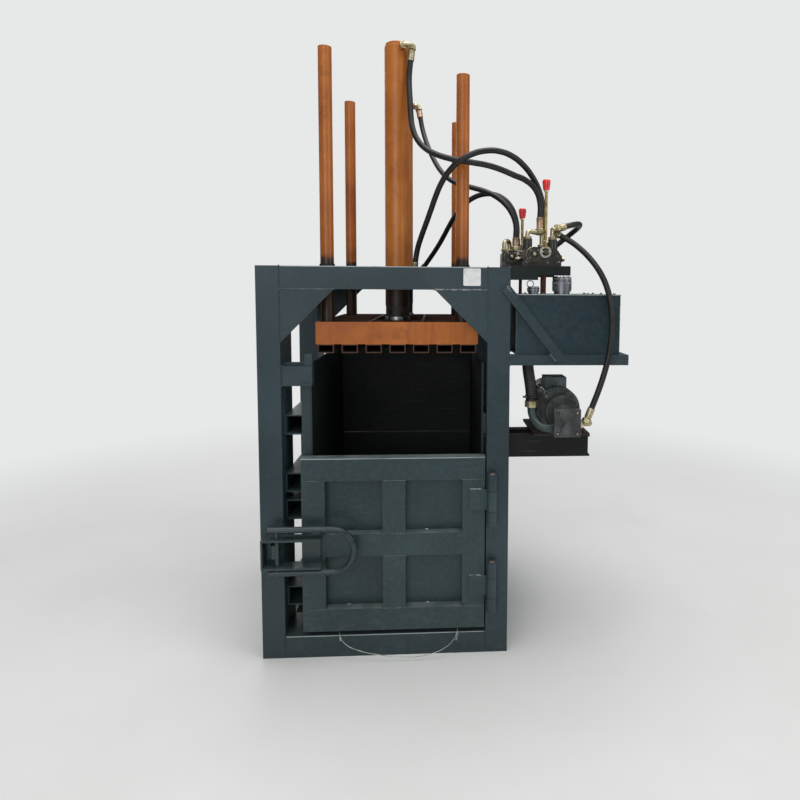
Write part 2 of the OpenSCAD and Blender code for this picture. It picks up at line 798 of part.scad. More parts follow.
// Door of hollow bars on a back plate, with its hinge leaves and knuckles
module door(top, hinges) {
    h = top - door_bottom;
    bar_wall = 5;
    y_plate = front_y - door_front + bar_d;
    difference() {
        union() {
            translate([door_x, front_y - door_front + bar_d, door_bottom + h / 2])
                rotate([90, 0, 0])
                    difference() {
                        linear_extrude(bar_d)
                            door_grid(door_w, h, bar_w);
                        translate([0, 0, -bar_wall])
                            linear_extrude(bar_d)
                                door_grid(door_w, h, bar_w - 2 * bar_wall);
                    }
            block([door_x - door_w / 2, y_plate - eps, door_bottom],
                  [door_x + door_w / 2, y_plate + door_plate_t, top]);
            for (z = hinges) {
                block([leaf_x, front_y - door_front - leaf_t, z[1]],
                      [hinge_x, front_y - door_front + eps, z[2]]);
                translate([hinge_x, front_y - hinge_out, z[1]])
                    cylinder(h = z[2] - z[1], d = knuckle_d, $fn = 48);
            }
        }
        for (z = hinges)
            translate([hinge_x, front_y - hinge_out, z[1] - 1])
                cylinder(h = z[2] - z[1] + 2, d = pin_d + 2 * fit_gap, $fn = 40);
    }
}

module front_door() { color(frame_paint) door(front_door_top, front_hinges); }
module rear_door() { color(frame_paint) at_rear() door(rear_door_top, rear_hinges); }

// Headed hinge pins, one through each set of three knuckles
module hinge_pins(hinges) {
    for (z = hinges)
        translate([hinge_x, front_y - hinge_out, z[0] - 4]) {
            cylinder(h = z[3] - z[0] + 4, d = pin_d, $fn = 40);
            translate([0, 0, z[3] - z[0] + 4])
                cylinder(h = 9, d = pin_d + 10, $fn = 40);
        }
}

module front_hinge_pins() { color(steel) hinge_pins(front_hinges); }
module rear_hinge_pins() { color(steel) at_rear() hinge_pins(rear_hinges); }

// Latch bracket: two plates and a left web that reach over the column
module latch_bracket() {
    y0 = front_y - door_front - bracket_depth;
    y1 = front_y - door_front;
    door_left = door_x - door_w / 2;
    difference() {
        union() {
            for (side = [-1, 1])
                block([bracket_left, y0, bracket_z + side * bracket_half - bracket_t / 2],
                      [bracket_right, y1, bracket_z + side * bracket_half + bracket_t / 2]);
            block([bracket_left, y0, bracket_z - bracket_half],
                  [bracket_left + bracket_t, y1 - 10, bracket_z + bracket_half]);
            block([door_left + 6, y1 - 12, bracket_z - bracket_half],
                  [bracket_right - 11, y1, bracket_z + bracket_half]);
        }
        translate([shaft_x, front_y - shaft_out, bracket_z - bracket_half - bracket_t])
            cylinder(h = 2 * (bracket_half + bracket_t), d = shaft_d + 2 * fit_gap, $fn = 40);
    }
}

module front_latch_bracket() { color(frame_paint) latch_bracket(); }
module rear_latch_bracket() { color(frame_paint) at_rear() latch_bracket(); }

// U handle bent from round bar, with the shaft and its cam
module latch_handle() {
    end_x = shaft_x - 37;
    bend_x = shaft_x + handle_reach;
    y = front_y - shaft_out;
    for (side = [-1, 1])
        bar_between([end_x, y, latch_z + side * bend_r], [bend_x, y, latch_z + side * bend_r], handle_d);
    translate([bend_x, y, latch_z])
        rotate([90, 0, 0])
            rotate([0, 0, -90])
                rotate_extrude(angle = 180, $fn = 96)
                    translate([bend_r, 0])
                        circle(d = handle_d, $fn = 40);
    translate([shaft_x, y, latch_z - bend_r])
        cylinder(h = handle_gap, d = shaft_d, $fn = 40);
    difference() {
        block([shaft_x - 22, y - 7, latch_z - 30], [shaft_x, y + 20, latch_z + 30]);
        translate([shaft_x, y, latch_z - 31])
            cylinder(h = 62, d = shaft_d - 1, $fn = 40);
    }
}

module front_latch_handle() { color(frame_paint) latch_handle(); }
module rear_latch_handle() { color(frame_paint) at_rear() latch_handle(); }

// Folded shelf plate for the valves, with its arm on the column
module valve_shelf() {
    y0 = shelf_front;
    y1 = shelf_front + shelf_depth;
    color(frame_paint)
        difference() {
            union() {
                block([side_x, y0, shelf_top - shelf_t], [shelf_right, y1, shelf_top]);
                block([side_x, y0, shelf_top - shelf_lip], [shelf_right, y0 + shelf_t, shelf_top]);
                block([side_x, y1 - shelf_t, shelf_top - shelf_lip], [shelf_right, y1, shelf_top]);
                block([side_x, y0, shelf_top - shelf_lip - 20], [side_x + 125, y0 + 32, shelf_top - shelf_t + eps]);
            }
            for (p = pipes)
                translate([p[0], p[1], shelf_top - shelf_t - 1])
                    cylinder(h = shelf_t + 2, d = p[2] + 2 * pipe_gap, $fn = 32);
        }
}

// Cast valve body: port towers on top, round spool cap and lever boss in front
module valve(corner, towers) {
    cap_x = 44;
    cap_z = 52;
    cap_out = 20;
    foot = 24;
    foot_t = 14;
    edge = 10;
    color(cast_grey)
        translate([corner[0], corner[1], shelf_top])
            difference() {
                union() {
                    translate([0, valve_d, 0])
                        rotate([90, 0, 0])
                            linear_extrude(valve_d)
                                polygon([
                                    [4, 0], [valve_w - 4, 0], [valve_w, edge], [valve_w, valve_h - 30],
                                    [valve_w - 12, valve_h - edge], [valve_w - 24, valve_h],
                                    [edge, valve_h], [0, valve_h - edge], [0, edge]
                                ]);
                    for (t = towers)
                        translate([t[0], t[1], valve_h - tower_root])
                            cylinder(h = t[2] + tower_root, d = 44, $fn = 48);
                    translate([cap_x, -cap_out, cap_z])
                        rotate([-90, 0, 0])
                            cylinder(h = valve_d + 2 * cap_out, d = spool_d, $fn = 64);
                    translate([lever_dx, -lever_out - 8, lever_rise])
                        rotate([-90, 0, 0])
                            cylinder(h = lever_out + 9, d = lever_boss_d, $fn = 40);
                    translate([valve_w - 1, valve_d / 2, valve_h / 2 - 4])
                        rotate([0, 90, 0])
                            cylinder(h = side_boss + 1, d = 34, $fn = 32);
                    for (dx = [0, valve_w - foot], dy = [-10, valve_d - 14])
                        translate([dx, dy, 0])
                            cube([foot, foot, foot_t]);
                }
                translate([lever_dx - lever_boss_d, -lever_out, lever_rise])
                    rotate([0, 90, 0])
                        cylinder(h = 2 * lever_boss_d, d = lever_pin_d + 2 * fit_gap, $fn = 32);
            }
}

module front_valve() { valve(valve_front, front_towers); }
module rear_valve() { valve(valve_rear, rear_towers); }

// Hand lever: ring on a cross pin through the valve's boss, with the long rod
module lever(corner, top) {
    ring_t = 10;
    ring_w = 9;
    pivot_z = shelf_top + lever_rise;
    color(brass)
        translate([corner[0] + lever_dx, corner[1] - lever_out, pivot_z]) {
            rotate([90, 0, 0])
                difference() {
                    cylinder(h = ring_t, d = lever_ring_d, center = true, $fn = 64);
                    cylinder(h = ring_t + 2, d = lever_ring_d - 2 * ring_w, center = true, $fn = 64);
                }
            rotate([0, 90, 0])
                cylinder(h = lever_ring_d - ring_w, d = lever_pin_d, center = true, $fn = 32);
            translate([0, 0, lever_ring_d / 2 - 2])
                cylinder(h = 14, d = lever_d + 6, $fn = 6);
            translate([0, 0, lever_ring_d / 2])
                cylinder(h = top - grip_cap - pivot_z - lever_ring_d / 2, d = lever_d, $fn = 32);
        }
}

module front_lever() { lever(valve_front, lever_front_top); }
module rear_lever() { lever(valve_rear, lever_rear_top); }

// Moulded grip, wider at its top, pressed on the lever rod
module grip(corner, top) {
    bore_r = lever_d / 2 + fit_gap;
    color(grip_red)
        translate([corner[0] + lever_dx, corner[1] - lever_out, top - grip_h])
            rotate_extrude($fn = 48)
                polygon([
                    [bore_r, 0], [grip_d / 2 - 6, 0], [grip_d / 2 - 4, 3],
                    [grip_d / 2, grip_h - 12], [grip_d / 2 - 1, grip_h - 4],
                    [grip_d / 2 - 6, grip_h], [0, grip_h], [0, grip_h - grip_cap],
                    [bore_r, grip_h - grip_cap]
                ]);
}

module front_grip() { grip(valve_front, lever_front_top); }
module rear_grip() { grip(valve_rear, lever_rear_top); }

// Folded tank with a lid whose edge stands a little proud
module tank() {
    x1 = tank_x + tank_w;
    y1 = tank_front + tank_d;
    lid_z = tank_z + tank_h - lid_t;
    color(frame_paint)
        difference() {
            union() {
                block([tank_x + lid_edge, tank_front + lid_edge, tank_z],
                      [x1 - lid_edge, y1 - lid_edge, lid_z + eps]);
                block([tank_x, tank_front, lid_z], [x1, y1, tank_z + tank_h]);
                translate(suction_start)
                    cylinder(h = tank_z - suction_start[2] + eps, d = outlet_d, $fn = 48);
            }
            block([tank_x + lid_edge + tank_t, tank_front + lid_edge + tank_t, tank_z + tank_t],
                  [x1 - lid_edge - tank_t, y1 - lid_edge - tank_t, lid_z]);
            translate(suction_start - [0, 0, 1])
                cylinder(h = tank_z + tank_t - suction_start[2] + 2, d = suction_d - 14, $fn = 48);
        }
}

// Two angle arms, an end angle and a rail between the columns
module tank_shelf() {
    y0 = front_y;
    y1 = tank_front + tank_d + angle_t + 4;
    z0 = tank_z - angle_leg;
    color(frame_paint)
        difference() {
            shelf_angles(y0, y1, z0);
            translate([suction_start[0], suction_start[1], z0])
                cylinder(h = angle_leg + 1, d = outlet_d + 2 * pipe_gap, $fn = 48);
        }
}

// The shelf's angles and rail, without the notch for the tank's outlet
module shelf_angles(y0, y1, z0) {
    union() {
        block([side_x, y0, z0], [angle_right, y0 + angle_t, tank_z]);
        block([side_x, y0, tank_z - angle_t], [angle_right, y0 + angle_leg, tank_z]);
        block([side_x, y1 - angle_t, z0], [angle_right, y1, tank_z]);
        block([side_x, y1 - angle_leg, tank_z - angle_t], [angle_right, y1, tank_z]);
        block([angle_right - angle_t, y0, z0], [angle_right, y1, tank_z]);
        block([angle_right - angle_leg, y0, tank_z - angle_t], [angle_right, y1, tank_z]);
        block([side_x - angle_leg, front_y + column_d, z0],
              [side_x, rear_y - column_d, z0 + angle_t]);
        block([side_x - angle_t, front_y + column_d, z0], [side_x, rear_y - column_d, tank_z]);
        block([side_x - eps, front_y + column_d, tank_z - angle_t],
              [side_x + angle_leg, y1, tank_z]);
    }
}

// Diagonal flat bar from the column's face to the shelf angle
module tank_brace() {
    bar_t = 8;
    bar_h = 42;
    top = [side_x - 22, frame_h - 89];
    foot = [tank_x + 208, tank_z - 24];
    span = foot - top;
    color(frame_paint)
        translate([top[0], front_y, top[1]])
            rotate([0, -atan2(span[1], span[0]), 0])
                translate([0, -bar_t, -bar_h / 2])
                    cube([norm(span), bar_t, bar_h]);
}

// Ribbed breather cap on its neck
module breather_cap() {
    neck_h = 12;
    cap_d = 88;
    cap_h = 66;
    ribs = 28;
    color(zinc)
        translate([tank_x + 224, tank_front + 90, tank_z + tank_h]) {
            cylinder(h = neck_h + 1, d = 72, $fn = 64);
            translate([0, 0, neck_h])
                cylinder(h = cap_h, d = cap_d - 4, $fn = 64);
            translate([0, 0, neck_h + cap_h - 10])
                cylinder(h = 6, d = cap_d, $fn = 64);
            for (i = [0 : ribs - 1])
                rotate([0, 0, i * 360 / ribs])
                    translate([cap_d / 2 - 3, -2, neck_h + 6])
                        cube([3, 4, cap_h - 22]);
        }
}

// Filler cap with a ring for its chain
module filler_cap() {
    ribs = 20;
    color(zinc)
        translate([tank_x + 92, tank_front + 90, tank_z + tank_h]) {
            cylinder(h = 10, d = 46, $fn = 48);
            translate([0, 0, 9])
                cylinder(h = 24, d = 52, $fn = 48);
            for (i = [0 : ribs - 1])
                rotate([0, 0, i * 360 / ribs])
                    translate([25, -1.5, 11])
                        cube([3, 3, 18]);
            translate([-14, 0, 46])
                rotate([90, 0, 0])
                    rotate_extrude($fn = 48)
                        translate([15, 0])
                            circle(d = 4, $fn = 16);
        }
}

// Two rusty pipes from the tank lid up through the shelf to the valves
module return_pipes() {
    lid_z = tank_z + tank_h;
    color(rust)
        for (p = pipes)
            translate([p[0], p[1], lid_z])
                cylinder(h = shelf_top - lid_z, d = p[2], $fn = 32);
}

// Two channels that reach out from the front right column
module support_channel(y) {
    web = 5;
    flange = 48;
    block([side_x, y, support_top - support_h], [support_right - 8, y + web, support_top]);
    block([side_x, y, support_top - 8], [support_right, y + flange, support_top]);
    block([side_x, y, support_top - support_h], [support_right, y + flange, support_top - support_h + 8]);
}

module motor_supports() {
    color(frame_paint)
        for (y = [front_y + 30, front_y + column_d - 50])
            support_channel(y);
}

module motor_base() {
    color(rust)
        block([motor_x - 130, front_y + 20, support_top],
              [motor_x + 130, front_y + 330, support_top + base_t]);
}

// Finned motor housing with feet and terminal box, hollow for the rotor
module motor_housing() {
    y0 = motor_front;
    fins = 36;
    fin_h = 12;
    foot_w = 200;
    color(motor_grey)
        difference() {
            union() {
                translate([motor_x, y0, motor_z])
                    rotate([-90, 0, 0]) {
                        cylinder(h = motor_len, d = motor_d, $fn = 96);
                        cylinder(h = 24, d = motor_d + 22, $fn = 96);
                        translate([0, 0, motor_len - 24])
                            cylinder(h = 24, d = motor_d + 22, $fn = 96);
                        for (i = [0 : fins - 1])
                            rotate([0, 0, i * 360 / fins])
                                translate([motor_d / 2 - 3, -2, 20])
                                    cube([fin_h + 3, 4, motor_len - 40]);
                    }
                for (dy = [40, motor_len - 70])
                    block([motor_x - foot_w / 2, y0 + dy, support_top + base_t],
                          [motor_x + foot_w / 2, y0 + dy + 40, support_top + base_t + 14]);
                for (side = [-1, 1], dy = [40, motor_len - 70])
                    block([motor_x + side * 62 - 9, y0 + dy + 6, support_top + base_t],
                          [motor_x + side * 62 + 9, y0 + dy + 34, motor_z - 40]);
                block([motor_x - 50, y0 + 70, motor_z + motor_d / 2 - 8],
                      [motor_x + 50, y0 + 170, motor_z + motor_d / 2 + 48]);
            }
            translate([motor_x, y0 - 1, motor_z])
                rotate([-90, 0, 0])
                    cylinder(h = motor_len + 2, d = shaft_motor_d + 2 * fit_gap, $fn = 48);
        }
}

// Sheet cover over the fan, with slots in its end
module fan_cover() {
    y0 = motor_front + motor_len;
    r = motor_d / 2 + 12;
    len_c = 70;
    sheet = 2;
    slots = 12;
    color(motor_grey)
        translate([motor_x, y0, motor_z])
            rotate([-90, 0, 0])
                difference() {
                    cylinder(h = len_c, r = r, $fn = 96);
                    translate([0, 0, -1])
                        cylinder(h = len_c - sheet + 1, r = r - sheet, $fn = 96);
                    for (i = [0 : slots - 1])
                        rotate([0, 0, i * 360 / slots])
                            translate([26, -4, len_c - sheet - 1])
                                cube([r - 44, 8, sheet + 2]);
                }
}

// Rotor: shaft through the housing, fan behind it and coupling in front
module motor_rotor() {
    y0 = motor_front;
    blades = 9;
    color(steel)
        translate([motor_x, y0, motor_z])
            rotate([-90, 0, 0]) {
                translate([0, 0, -54])
                    cylinder(h = motor_len + 104, d = shaft_motor_d, $fn = 48);
                translate([0, 0, pump_back - motor_front - pump_shaft_in])
                    cylinder(h = 60, d = pump_shaft_d, $fn = 40);
                translate([0, 0, -56])
                    cylinder(h = 46, d = coupling_d, $fn = 48);
                translate([0, 0, motor_len + 12])
                    cylinder(h = 34, d = 50, $fn = 48);
                for (i = [0 : blades - 1])
                    rotate([0, 0, i * 360 / blades])
                        translate([20, -1.5, motor_len + 14])
                            cube([56, 3, 30]);
            }
}

// Bell housing between motor and pump with two side windows
module bell_housing() {
    y0 = pump_back;
    y1 = motor_front;
    bell_d = 150;
    color(cast_grey)
        difference() {
            union() {
                translate([motor_x, y0, motor_z])
                    rotate([-90, 0, 0])
                        cylinder(h = y1 - y0, d = bell_d - 16, $fn = 64);
                translate([motor_x, y1 - 14, motor_z])
                    rotate([-90, 0, 0])
                        cylinder(h = 14, d = bell_d + 40, $fn = 64);
                translate([motor_x, y0, motor_z])
                    rotate([-90, 0, 0])
                        cylinder(h = 12, d = bell_d, $fn = 64);
            }
            translate([motor_x, y0 + 12, motor_z])
                rotate([-90, 0, 0])
                    cylinder(h = y1 - y0, d = coupling_d + 16, $fn = 64);
            translate([motor_x, y0 - 1, motor_z])
                rotate([-90, 0, 0])
                    cylinder(h = 14, d = pump_shaft_d + 14, $fn = 48);
            block([motor_x - bell_d, y0 + 26, motor_z - 22], [motor_x + bell_d, y1 - 26, motor_z + 22]);
        }
}

// Gear pump: three stacked body plates, rear cover with round boss, side ports
module pump_body() {
    z = motor_z - pump_drop;
    y0 = pump_back - pump_len;
    body_front = y0 + 26;
    color(cast_grey)
        difference() {
            union() {
                block([motor_x - pump_w / 2 + 3, body_front, z - pump_h / 2 + 3],
                      [motor_x + pump_w / 2 - 3, pump_back - 22, z + pump_h / 2 - 3]);
                block([motor_x - pump_w / 2, y0, z - pump_h / 2],
                      [motor_x + pump_w / 2, body_front + eps, z + pump_h / 2]);
                block([motor_x - pump_w / 2 - 4, pump_back - 22 - eps, z - pump_h / 2 - 4],
                      [motor_x + pump_w / 2 + 4, pump_back, z + pump_h / 2 + 4]);
                for (dz = [-24, 26])
                    translate([motor_x, y0 - 8, z + dz])
                        rotate([-90, 0, 0])
                            cylinder(h = 9, d = 54, $fn = 48);
                translate([motor_x - pump_w / 2 - 4, front_y - 40, z - 33])
                    rotate([0, 90, 0])
                        cylinder(h = pump_w / 2, d = 48, $fn = 40);
                translate([motor_x + 10, front_y - 60, z - 10])
                    rotate([0, 90, 0])
                        cylinder(h = pump_w / 2 - 6, d = 40, $fn = 40);
            }
            translate([motor_x, pump_back - pump_shaft_in - 2, motor_z])
                rotate([-90, 0, 0])
                    cylinder(h = pump_shaft_in + 4, d = pump_shaft_d + 2 * fit_gap, $fn = 40);
            for (dx = [-1, 1], dz = [-1, 1])
                translate([motor_x + dx * (pump_w / 2 - 15), y0 - 1, z + dz * (pump_h / 2 - 15)])
                    rotate([-90, 0, 0])
                        cylinder(h = 9, d = 19, $fn = 32);
        }
}

// Curved steel suction pipe with its nut
module suction_pipe() {
    points = moved(suction_pipe_points);
    color(zinc) {
        swept_tube(points, 38, 12);
        translate(points[0] - [0, 0, 6])
            cylinder(h = 28, d = 60, $fn = 6);
    }
}

module hose(points, d) {
    color(rubber)
        swept_tube(moved(points), d, 8);
}

module hose_front_top() { hose(hose_front_top_points, hose_d); }
module hose_front_bottom() { hose(hose_front_bottom_points, hose_d); }
module hose_rear_top() { hose(hose_rear_top_points, hose_d); }
module hose_rear_bottom() { hose(hose_rear_bottom_points, hose_d); }
module hose_pressure() { hose(hose_pressure_points, hose_d); }
module hose_link() { hose(hose_link_points, hose_d); }
module hose_suction() { hose(hose_suction_points, suction_d); }

// Crimped ferrule and hex nut in line with a hose end, then a bent pipe along a route
module hose_end(points, last, route, ferrule = 46) {
    n = len(points) - 1;
    p = last ? points[n] : points[0];
    dir = last ? seg_dir(points, n) : -seg_dir(points, 0);
    nut = 16;
    tip = p + ferrule * dir;
    bend = tip + (nut + 4) * dir;
    bar_between(p, tip, hose_d + 5);
    bar_between(tip - dir, tip + nut * dir, hose_d + 12, 6);
    path = concat([tip + (nut - 1) * dir, bend], route);
    for (i = [0 : len(path) - 2]) {
        bar_between(path[i], path[i + 1], fitting_d, 32);
        if (i > 0 && len(route) > 1)
            translate(path[i]) sphere(d = fitting_d + 6, $fn = 16);
    }
}

// Point on a valve's port tower, h above the tower's top
function tower_top(corner, t, h = 0) =
    [corner[0] + t[0], corner[1] + t[1], shelf_top + valve_h + t[2] + h];

// Last stretch of a fitting's pipe, straight out of a barrel port
function into_barrel(y, top, high) =
    [port_tip(y, top, high, elbow_out), port_tip(y, top, high)];

// Last stretch of a fitting's pipe, straight down into a valve's port tower
function into_tower(corner, t, h) = [tower_top(corner, t, h), tower_top(corner, t)];

module cylinder_fittings() {
    color(zinc) {
        hose_end(moved(hose_front_top_points), false,
                 into_barrel(-barrel_y, barrel_top_front, true));
        hose_end(moved(hose_front_bottom_points), false,
                 into_barrel(-barrel_y, barrel_top_front, false), 24);
        hose_end(moved(hose_rear_top_points), false,
                 into_barrel(barrel_y, barrel_top_rear, true), 40);
        hose_end(moved(hose_rear_bottom_points), false,
                 into_barrel(barrel_y, barrel_top_rear, false), 24);
    }
}

module valve_fittings() {
    elbow_rise = 38;
    high_rise = 61;
    link_rise = 48;
    link = moved(hose_link_points);
    pressure = moved(hose_pressure_points);
    color(zinc) {
        hose_end(moved(hose_front_top_points), true,
                 into_tower(valve_front, front_towers[0], elbow_rise));
        hose_end(moved(hose_front_bottom_points), true,
                 into_tower(valve_front, front_towers[1], elbow_rise));
        hose_end(moved(hose_rear_top_points), true, [tower_top(valve_rear, rear_towers[1])], 38);
        hose_end(moved(hose_rear_bottom_points), true, [tower_top(valve_rear, rear_towers[2])], 38);
        hose_end(link, false, into_tower(valve_front, front_towers[2], link_rise), 30);
        hose_end(link, true, [valve_rear_port + [elbow_out, 0, 0], valve_rear_port], 20);
        hose_end(pressure, false, [[pressure[0][0], pump_port[1], pump_port[2]], pump_port]);
        hose_end(pressure, true, into_tower(valve_front, front_towers[3], high_rise), 14);
    }
}

module bale_wire() {
    color(steel)
        swept_tube(moved(wire_points), 3, 8);
}

front_portal();
rear_portal();
side_beams();
cylinder_bridge();
floor_pan();
left_wall();
right_wall();
rear_panel();
feed_bracket();
guide_bushes();
front_barrel();
rear_barrel();
front_gland();
rear_gland();
front_piston();
rear_piston();
platen();
guide_tube_front_left();
guide_tube_front_right();
guide_tube_rear_left();
guide_tube_rear_right();
front_door();
front_hinge_pins();
front_latch_bracket();
front_latch_handle();
rear_door();
rear_hinge_pins();
rear_latch_bracket();
rear_latch_handle();
valve_shelf();
front_valve();
rear_valve();
front_lever();
rear_lever();
front_grip();
rear_grip();
tank();
tank_shelf();
tank_brace();
breather_cap();
filler_cap();
return_pipes();
motor_supports();
motor_base();
motor_housing();
fan_cover();
motor_rotor();
bell_housing();
pump_body();
suction_pipe();
hose_front_top();
hose_front_bottom();
hose_rear_top();
hose_rear_bottom();
hose_pressure();
hose_link();
hose_suction();
cylinder_fittings();
valve_fittings();
bale_wire();
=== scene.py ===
import math
import random

import bmesh
import bpy
from mathutils import Matrix, Vector


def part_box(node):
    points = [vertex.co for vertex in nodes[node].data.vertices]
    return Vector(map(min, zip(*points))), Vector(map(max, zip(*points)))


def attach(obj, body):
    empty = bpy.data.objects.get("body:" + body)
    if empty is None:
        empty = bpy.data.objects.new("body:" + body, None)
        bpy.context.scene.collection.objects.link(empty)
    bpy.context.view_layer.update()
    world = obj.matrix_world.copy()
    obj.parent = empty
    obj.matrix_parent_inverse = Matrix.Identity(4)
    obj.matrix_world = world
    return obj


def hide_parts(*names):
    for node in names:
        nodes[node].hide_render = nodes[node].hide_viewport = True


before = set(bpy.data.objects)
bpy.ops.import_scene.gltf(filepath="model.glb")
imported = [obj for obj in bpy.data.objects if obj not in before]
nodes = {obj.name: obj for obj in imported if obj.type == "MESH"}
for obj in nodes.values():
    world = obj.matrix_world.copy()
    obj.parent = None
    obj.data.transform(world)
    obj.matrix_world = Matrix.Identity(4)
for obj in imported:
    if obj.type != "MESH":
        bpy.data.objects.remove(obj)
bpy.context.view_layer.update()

print("frame loaded:", len(nodes), "nodes")

# camera: where the photographer stood
camera = {"place": (0.221, -3.069, 1.659), "yaw": 3.541, "pitch": 4.275, "roll": 0.34,
          "lens": 26.39, "shiftX": -0.0897, "shiftY": -0.0833}


def placed(name, data):
    piece = bpy.data.objects.new(name, data)
    bpy.context.scene.collection.objects.link(piece)
    return piece


def addCamera(view):
    yaw, pitch, roll = (math.radians(view[key]) for key in ("yaw", "pitch", "roll"))
    ahead = Vector((math.sin(yaw) * math.cos(pitch), math.cos(yaw) * math.cos(pitch), -math.sin(pitch)))
    level = Vector((math.cos(yaw), -math.sin(yaw), 0))
    above = level.cross(ahead)
    right = math.cos(roll) * level + math.sin(roll) * above
    top = math.cos(roll) * above - math.sin(roll) * level
    eye = placed("photoCamera", bpy.data.cameras.new("photoCamera"))
    eye.data.lens = view["lens"]
    eye.data.shift_x = view["shiftX"]
    eye.data.shift_y = view["shiftY"]
    eye.matrix_world = Matrix.Translation(view["place"]) @ Matrix((right, top, -ahead)).transposed().to_4x4()
    bpy.context.scene.camera = eye


addCamera(camera)

# the free hoses: points from the cylinder or pump end to the other end
hoses = {
    "frontTopHose": {
        "node": "hose_front_top", "diameter": 0.026, "length": 1.139,
        "points": [
            (0.105, -0.28, 2.705), (0.0987, -0.2806, 2.642), (0.0993, -0.2891, 2.5797),
            (0.1033, -0.3011, 2.5177), (0.1067, -0.312, 2.4556), (0.1146, -0.3255, 2.3942),
            (0.1363, -0.3424, 2.3373), (0.1735, -0.3657, 2.292), (0.218, -0.3985, 2.2611),
            (0.2663, -0.4331, 2.238), (0.3227, -0.4545, 2.2221), (0.3853, -0.4612, 2.2122),
            (0.4475, -0.4586, 2.2028), (0.508, -0.4488, 2.1873), (0.5667, -0.4398, 2.166),
            (0.6245, -0.4252, 2.1453), (0.6713, -0.4091, 2.1066), (0.6926, -0.4011, 2.0481),
            (0.693, -0.401, 1.985)]},
    "frontBottomHose": {
        "node": "hose_front_bottom", "diameter": 0.026, "length": 1.143,
        "points": [
            (0.124, -0.252, 1.786), (0.136, -0.261, 1.8518), (0.1562, -0.2808, 1.9127),
            (0.179, -0.3075, 1.9708), (0.2008, -0.3389, 2.0273), (0.2219, -0.3748, 2.0813),
            (0.2461, -0.4149, 2.1306), (0.278, -0.4547, 2.1741), (0.3213, -0.4865, 2.211),
            (0.3761, -0.5019, 2.2395), (0.4379, -0.4978, 2.2564), (0.5005, -0.4768, 2.259),
            (0.5593, -0.4457, 2.2457), (0.6119, -0.4132, 2.2162), (0.6566, -0.3866, 2.1719),
            (0.6907, -0.3696, 2.116), (0.71, -0.362, 2.0525), (0.71, -0.362, 1.985)]},
    "rearTopHose": {
        "node": "hose_rear_top", "diameter": 0.026, "length": 1.009,
        "points": [
            (0.136, 0.222, 2.592), (0.1478, 0.2102, 2.5311), (0.1627, 0.188, 2.4744),
            (0.1799, 0.1581, 2.4214), (0.1989, 0.1238, 2.3712), (0.2203, 0.0882, 2.3229),
            (0.2455, 0.0521, 2.2775), (0.2762, 0.0149, 2.2379), (0.3135, -0.0233, 2.2068),
            (0.3576, -0.0611, 2.1841), (0.4072, -0.096, 2.1661), (0.4596, -0.1266, 2.1464),
            (0.5109, -0.1526, 2.1191), (0.5565, -0.1741, 2.0807), (0.5911, -0.1906, 2.0313),
            (0.61, -0.2, 1.9732), (0.61, -0.2, 1.91)]},
    "rearBottomHose": {
        "node": "hose_rear_bottom", "diameter": 0.026, "length": 0.9,
        "points": [
            (0.16, 0.212, 1.788), (0.1912, 0.1943, 1.8317), (0.2184, 0.1642, 1.8699),
            (0.242, 0.1269, 1.9052), (0.2632, 0.088, 1.9408), (0.2843, 0.0505, 1.9782),
            (0.3073, 0.0156, 2.017), (0.3347, -0.0167, 2.0557), (0.3682, -0.0456, 2.0914),
            (0.409, -0.0698, 2.1197), (0.4565, -0.0896, 2.1353), (0.5067, -0.1108, 2.1331),
            (0.553, -0.1309, 2.1112), (0.5891, -0.1453, 2.0723), (0.6118, -0.1552, 2.022),
            (0.622, -0.161, 1.9665), (0.622, -0.161, 1.91)]},
    "pumpHose": {
        "node": "hose_pressure", "diameter": 0.026, "length": 0.885,
        "points": [
            (0.905, -0.56, 1.14), (0.9255, -0.5581, 1.1913), (0.9449, -0.554, 1.2428),
            (0.9623, -0.5491, 1.295), (0.9767, -0.5445, 1.348), (0.9873, -0.5408, 1.4021),
            (0.9937, -0.5374, 1.4569), (0.9961, -0.5336, 1.5121), (0.9945, -0.5281, 1.5672),
            (0.9884, -0.5194, 1.6213), (0.9771, -0.5064, 1.6735), (0.9597, -0.4888, 1.7226),
            (0.9364, -0.4675, 1.7681), (0.9078, -0.444, 1.8097), (0.8744, -0.4202, 1.8475),
            (0.8356, -0.3992, 1.8807), (0.79, -0.384, 1.908)]},
    "linkHose": {
        "node": "hose_link", "diameter": 0.026, "length": 0.381,
        "points": [
            (0.805, -0.408, 1.945), (0.8277, -0.3988, 1.9516), (0.849, -0.3864, 1.9574),
            (0.868, -0.3703, 1.9619), (0.8835, -0.3504, 1.9643), (0.894, -0.3274, 1.9643),
            (0.8988, -0.3028, 1.9612), (0.8976, -0.2782, 1.9552), (0.8913, -0.2553, 1.9465),
            (0.8807, -0.2351, 1.9355), (0.8668, -0.2182, 1.9228), (0.8505, -0.2049, 1.9086),
            (0.8326, -0.1954, 1.8934), (0.8137, -0.1896, 1.8775), (0.7944, -0.1872, 1.8613),
            (0.775, -0.188, 1.845)]},
    "suctionHose": {
        "node": "hose_suction", "diameter": 0.05, "length": 0.198,
        "points": [
            (0.637, -0.45, 1.356), (0.637, -0.45, 1.3419), (0.6376, -0.4512, 1.3278),
            (0.6384, -0.4528, 1.3138), (0.6395, -0.455, 1.2999), (0.641, -0.4579, 1.2861),
            (0.6427, -0.4613, 1.2725), (0.6445, -0.465, 1.259), (0.6463, -0.4687, 1.2455),
            (0.648, -0.4721, 1.2319), (0.6495, -0.475, 1.2181), (0.6506, -0.4772, 1.2042),
            (0.6514, -0.4788, 1.1902), (0.652, -0.48, 1.1761), (0.652, -0.48, 1.162)]},
}

